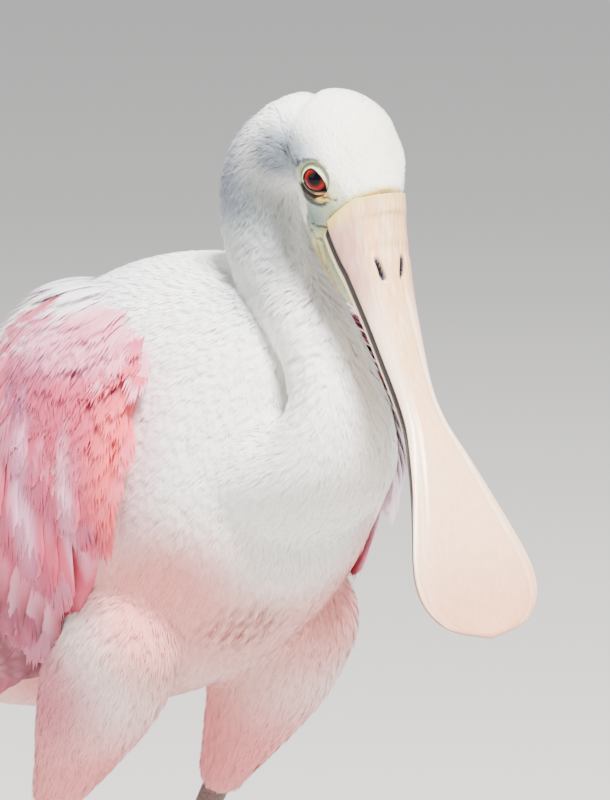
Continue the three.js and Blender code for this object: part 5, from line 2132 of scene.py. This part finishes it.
@dataclass(frozen=True)
class Surfacing:
    """How a natural surface is finished, over the tints that its meshes carry.

    Attributes:
        name: the material's name.
        roughness: of its gloss.
        grain_mm: the size of its fine mottling.
        mottle: how far the mottling darkens and lightens it.
        bump_mm: the height of its relief.
        cell_mm: the size of its scales or pebbles, 0 for none.
        barb_mm: the spacing of barbs along a vane, 0 for none.
        sheen: the soft light of fine barbs.
        coat: a wet or polished layer.
        depth: how much light passes into it.
        stretch: the grain's scale across, along and over the bill's line.
    """

    name: str
    roughness: float
    grain_mm: float
    mottle: float
    bump_mm: float
    cell_mm: float = 0.0
    barb_mm: float = 0.0
    sheen: float = 0.0
    coat: float = 0.0
    depth: float = 0.0
    stretch: tuple[float, float, float] = (1.0, 1.0, 1.0)

    def make(self) -> Material:
        """The material."""
        material, tree, shader = fresh(self.name)
        tint = add(tree, "Attribute", attribute_name="Tint")
        place = add(tree, "TexCoord").outputs["Object"]
        lean = (math.radians(BIRD.bill_pitch - 90), 0, 0)
        turned = add(tree, "Mapping", {"Rotation": lean, "Scale": self.stretch}, {"Vector": place})
        sizes = {"Scale": 1 / (self.grain_mm * MM), "Detail": 3.0, "Roughness": 0.6}
        grain = add(tree, "TexNoise", sizes, {"Vector": turned})
        height = grain
        if self.cell_mm:
            cells = add(
                tree, "TexVoronoi", {"Scale": 1 / (self.cell_mm * MM), "Randomness": 0.8}, {"Vector": turned},
                feature="DISTANCE_TO_EDGE",
            )
            raised = add(tree, "MapRange", {"From Max": 0.18, "To Max": 1.0}, {"Value": cells})
            height = add(tree, "Math", {2: 0.0}, {0: raised, 1: grain}, operation="ADD")
        if self.barb_mm:
            height = self.barbs(tree)
        shade = add(
            tree, "MapRange",
            {"From Min": 0.3, "From Max": 0.7, "To Min": 1 - self.mottle, "To Max": 1 + self.mottle * 0.4},
            {"Value": height if self.barb_mm else grain},
        )
        toned = add(tree, "VectorMath", None, {0: tint, "Scale": shade}, operation="SCALE")
        bump = add(tree, "Bump", {"Strength": 1.0, "Distance": self.bump_mm * MM}, {"Height": height})
        values = {
            "Roughness": self.roughness, "Sheen Weight": self.sheen, "Sheen Roughness": 0.5,
            "Coat Weight": self.coat, "Coat Roughness": 0.12, "Subsurface Weight": self.depth,
            "Subsurface Radius": (1.0, 0.5, 0.4), "Subsurface Scale": 0.002,
        }
        plug(tree, shader, values, {"Base Color": toned, "Normal": bump})
        return material

    def barbs(self, tree: NodeTree) -> Node:
        """Slanting barbs on both webs of a vane, from its own map in units of 100 mm."""
        place = add(tree, "UVMap", uv_map="Vane")
        split = add(tree, "SeparateXYZ", None, {"Vector": place}).outputs
        web = add(tree, "Math", None, {0: split["X"]}, operation="ABSOLUTE")
        slant = add(tree, "Math", {1: -1.3}, {0: web, 2: split["Y"]}, operation="MULTIPLY_ADD")
        wobble = add(tree, "TexNoise", {"Scale": 18.0, "Detail": 2.0}, {"Vector": place})
        bent = add(tree, "Math", {1: 0.03}, {0: wobble, 2: slant}, operation="MULTIPLY_ADD")
        turns = 2 * math.pi * 100 / self.barb_mm
        wave = add(tree, "Math", {1: turns}, {0: bent}, operation="MULTIPLY")
        sine = add(tree, "Math", None, {0: wave}, operation="SINE")
        spread = {"From Min": -1.0, "From Max": 1.0, "To Min": 0.3, "To Max": 0.7}
        return add(tree, "MapRange", spread, {"Value": sine})


def eye_finish() -> Material:
    """A living eye: dark red iris round a black pupil, under a clear wet cornea that mirrors the light."""
    material, tree, shader = fresh("eye, wet cornea over red iris")
    gaze = add(tree, "Attribute", attribute_name="Gaze").outputs["Fac"]
    rings = add(tree, "ValToRGB", None, {"Fac": gaze})
    ramp_of = rings.color_ramp
    stops = [
        (0.0, "#04040a"), (0.18, "#060610"), (0.2, "#2c0405"), (0.26, "#5c0807"), (0.33, "#8f120c"),
        (0.4, "#6a0b08"), (0.46, "#1e0504"), (0.55, "#0c0605"), (1.0, "#0c0605"),
    ]
    for place, colour in stops:
        stop = ramp_of.elements[0] if place == 0 else ramp_of.elements.new(place)
        stop.color = (*linear(colour), 1)
    ramp_of.elements.remove(ramp_of.elements[-1])
    # On the eyeballs, the Tint is the painted shadow of the lids
    painted_lid_shadow = add(tree, "Attribute", attribute_name="Tint")
    toned = add(tree, "VectorMath", None, {0: rings, 1: painted_lid_shadow}, operation="MULTIPLY")
    wet = {"Roughness": 0.04, "IOR": 1.376, "Specular IOR Level": 0.22}
    plug(tree, shader, wet, {"Base Color": toned})
    return material


def floor_finish() -> Material:
    """Matt studio paper: an even pale grey with a faint tooth."""
    material, tree, shader = fresh("studio paper, matt")
    place = add(tree, "TexCoord").outputs["Object"]
    tooth = add(tree, "TexNoise", {"Scale": 900.0, "Detail": 2.0}, {"Vector": place})
    greys = {"A": (*linear("#cfccc6"), 1), "B": (*linear("#d5d2cc"), 1)}
    tone = add(tree, "Mix", greys, {"Factor": tooth}, data_type="RGBA")
    plug(tree, shader, {"Roughness": 0.95}, {"Base Color": tone.outputs["Result"]})
    return material


FINISHES: dict[str, Material] = {
    # Loose keratin barbs scatter light, so down looks soft and matt, with a faint pale edge
    "down": Surfacing("plumage, loose barbs", 0.85, 1.1, 0.06, 0.06, sheen=0.2, depth=0.15).make(),
    # Zipped barbs make a firmer sheet with fine slanting lines; they are drawn coarser than the real 0.4 mm
    "vane": Surfacing("plumage, zipped vane", 0.7, 1.0, 0.05, 0.05, barb_mm=1.3, sheen=0.15).make(),
    # Bare skin is finely pebbled and a little translucent
    "skin": Surfacing("bare facial skin, pebbled", 0.5, 1.4, 0.12, 0.1, cell_mm=0.8, depth=0.08).make(),
    # Horn is grown in long layers, so its faint streaks follow the bill under a satin gloss
    "horn": Surfacing(
        "bill horn, grown and satin", 0.38, 1.6, 0.1, 0.07, coat=0.12, depth=0.06, stretch=(1.0, 1.0, 0.14)
    ).make(),
    # Leg skin is set with small dry plates that catch the light at their edges
    "leg": Surfacing("leg skin, scaled", 0.55, 1.2, 0.15, 0.16, cell_mm=2.2).make(),
    "eye": eye_finish(),
    "floor": floor_finish(),
}


@dataclass
class Studio:
    """The floor, the light and the camera at the photograph's viewing angle."""

    azimuth: float = -38.0
    elevation: float = 8.0
    distance: float = 3.0
    aim: tuple[float, float, float] = (0.0, 100.0, 307.0)
    mm_per_pixel: float = 0.345
    frame_height: int = 800
    sensor: float = 36.0
    ambient: float = 0.9
    floor_radius: float = 30.0

    @property
    def target(self) -> Vector:
        """The place that the camera and the lights face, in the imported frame."""
        return Vector(to_frame(at(*self.aim)))

    def floor(self) -> None:
        """A wide plain floor."""
        bm = bmesh.new()
        bmesh.ops.create_circle(bm, cap_ends=True, segments=96, radius=self.floor_radius)
        mesh = bpy.data.meshes.new("floor")
        bm.to_mesh(mesh)
        bm.free()
        mesh.materials.append(FINISHES["floor"])
        piece = linked("floor", mesh)

    def face(self, thing: Object, azimuth: float, elevation: float, reach: float) -> None:
        """Sets a light or a camera some metres from the target, facing it."""
        a, e = math.radians(azimuth), math.radians(elevation)
        way = Vector((math.sin(a) * math.cos(e), -math.cos(a) * math.cos(e), math.sin(e)))
        thing.location = self.target + way * reach
        thing.rotation_euler = way.to_track_quat("Z", "Y").to_euler()

    def light(self, name: str, size: float, watts: float, *place: float) -> None:
        """A soft square light, placed round the target by its azimuth, elevation and distance."""
        lamp = bpy.data.lights.new(name, "AREA")
        lamp.size, lamp.energy = size, watts
        self.face(linked(name, lamp), *place)

    def camera(self) -> None:
        """The camera, as far off and as long as the photograph's scale asks."""
        lens = bpy.data.cameras.new("camera")
        lens.sensor_fit = "VERTICAL"
        lens.sensor_height = self.sensor
        seen = self.mm_per_pixel * MM * self.frame_height
        lens.lens = self.sensor * self.distance / seen
        lens.clip_end = 100.0
        thing = linked("camera", lens)
        self.face(thing, self.azimuth, self.elevation, self.distance)
        bpy.context.scene.camera = thing

    def build(self) -> None:
        """Sets the stage."""
        self.floor()
        self.camera()
        world = bpy.data.worlds.new("studio")
        world.use_nodes = True
        soft = {"Color": (*linear("#e9ecf2"), 1), "Strength": self.ambient}
        plug(world.node_tree, world.node_tree.nodes["Background"], soft, None)
        bpy.context.scene.world = world
        self.light("key", 0.45, 175.0, -20.0, 58.0, 1.8)
        self.light("fill", 1.4, 14.0, -100.0, 25.0, 2.2)
        self.light("rim", 1.0, 20.0, 150.0, 40.0, 2.2)


def main() -> None:
    """Builds the bird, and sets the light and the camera."""
    logging.basicConfig(level=logging.INFO, format="%(message)s")
    Studio().build()
    skin = Skin().build()
    paint(skin.mesh, "Tint", bare_tint(coordinates(skin.mesh)))
    piece = placed("skin", skin.mesh, FINISHES["skin"])
    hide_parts("torso", "neck", "head", "thigh_left", "thigh_right")
    skin.read()
    Coat(skin, Lie()).build()
    Bill().build()
    for side in Side:
        Eye(side).build(skin)
        Leg(side).build()
        Wing(side).build(200 if side is Side.LEFT else 500)
    Tail().build(700)


if __name__ == "__main__":
    main()
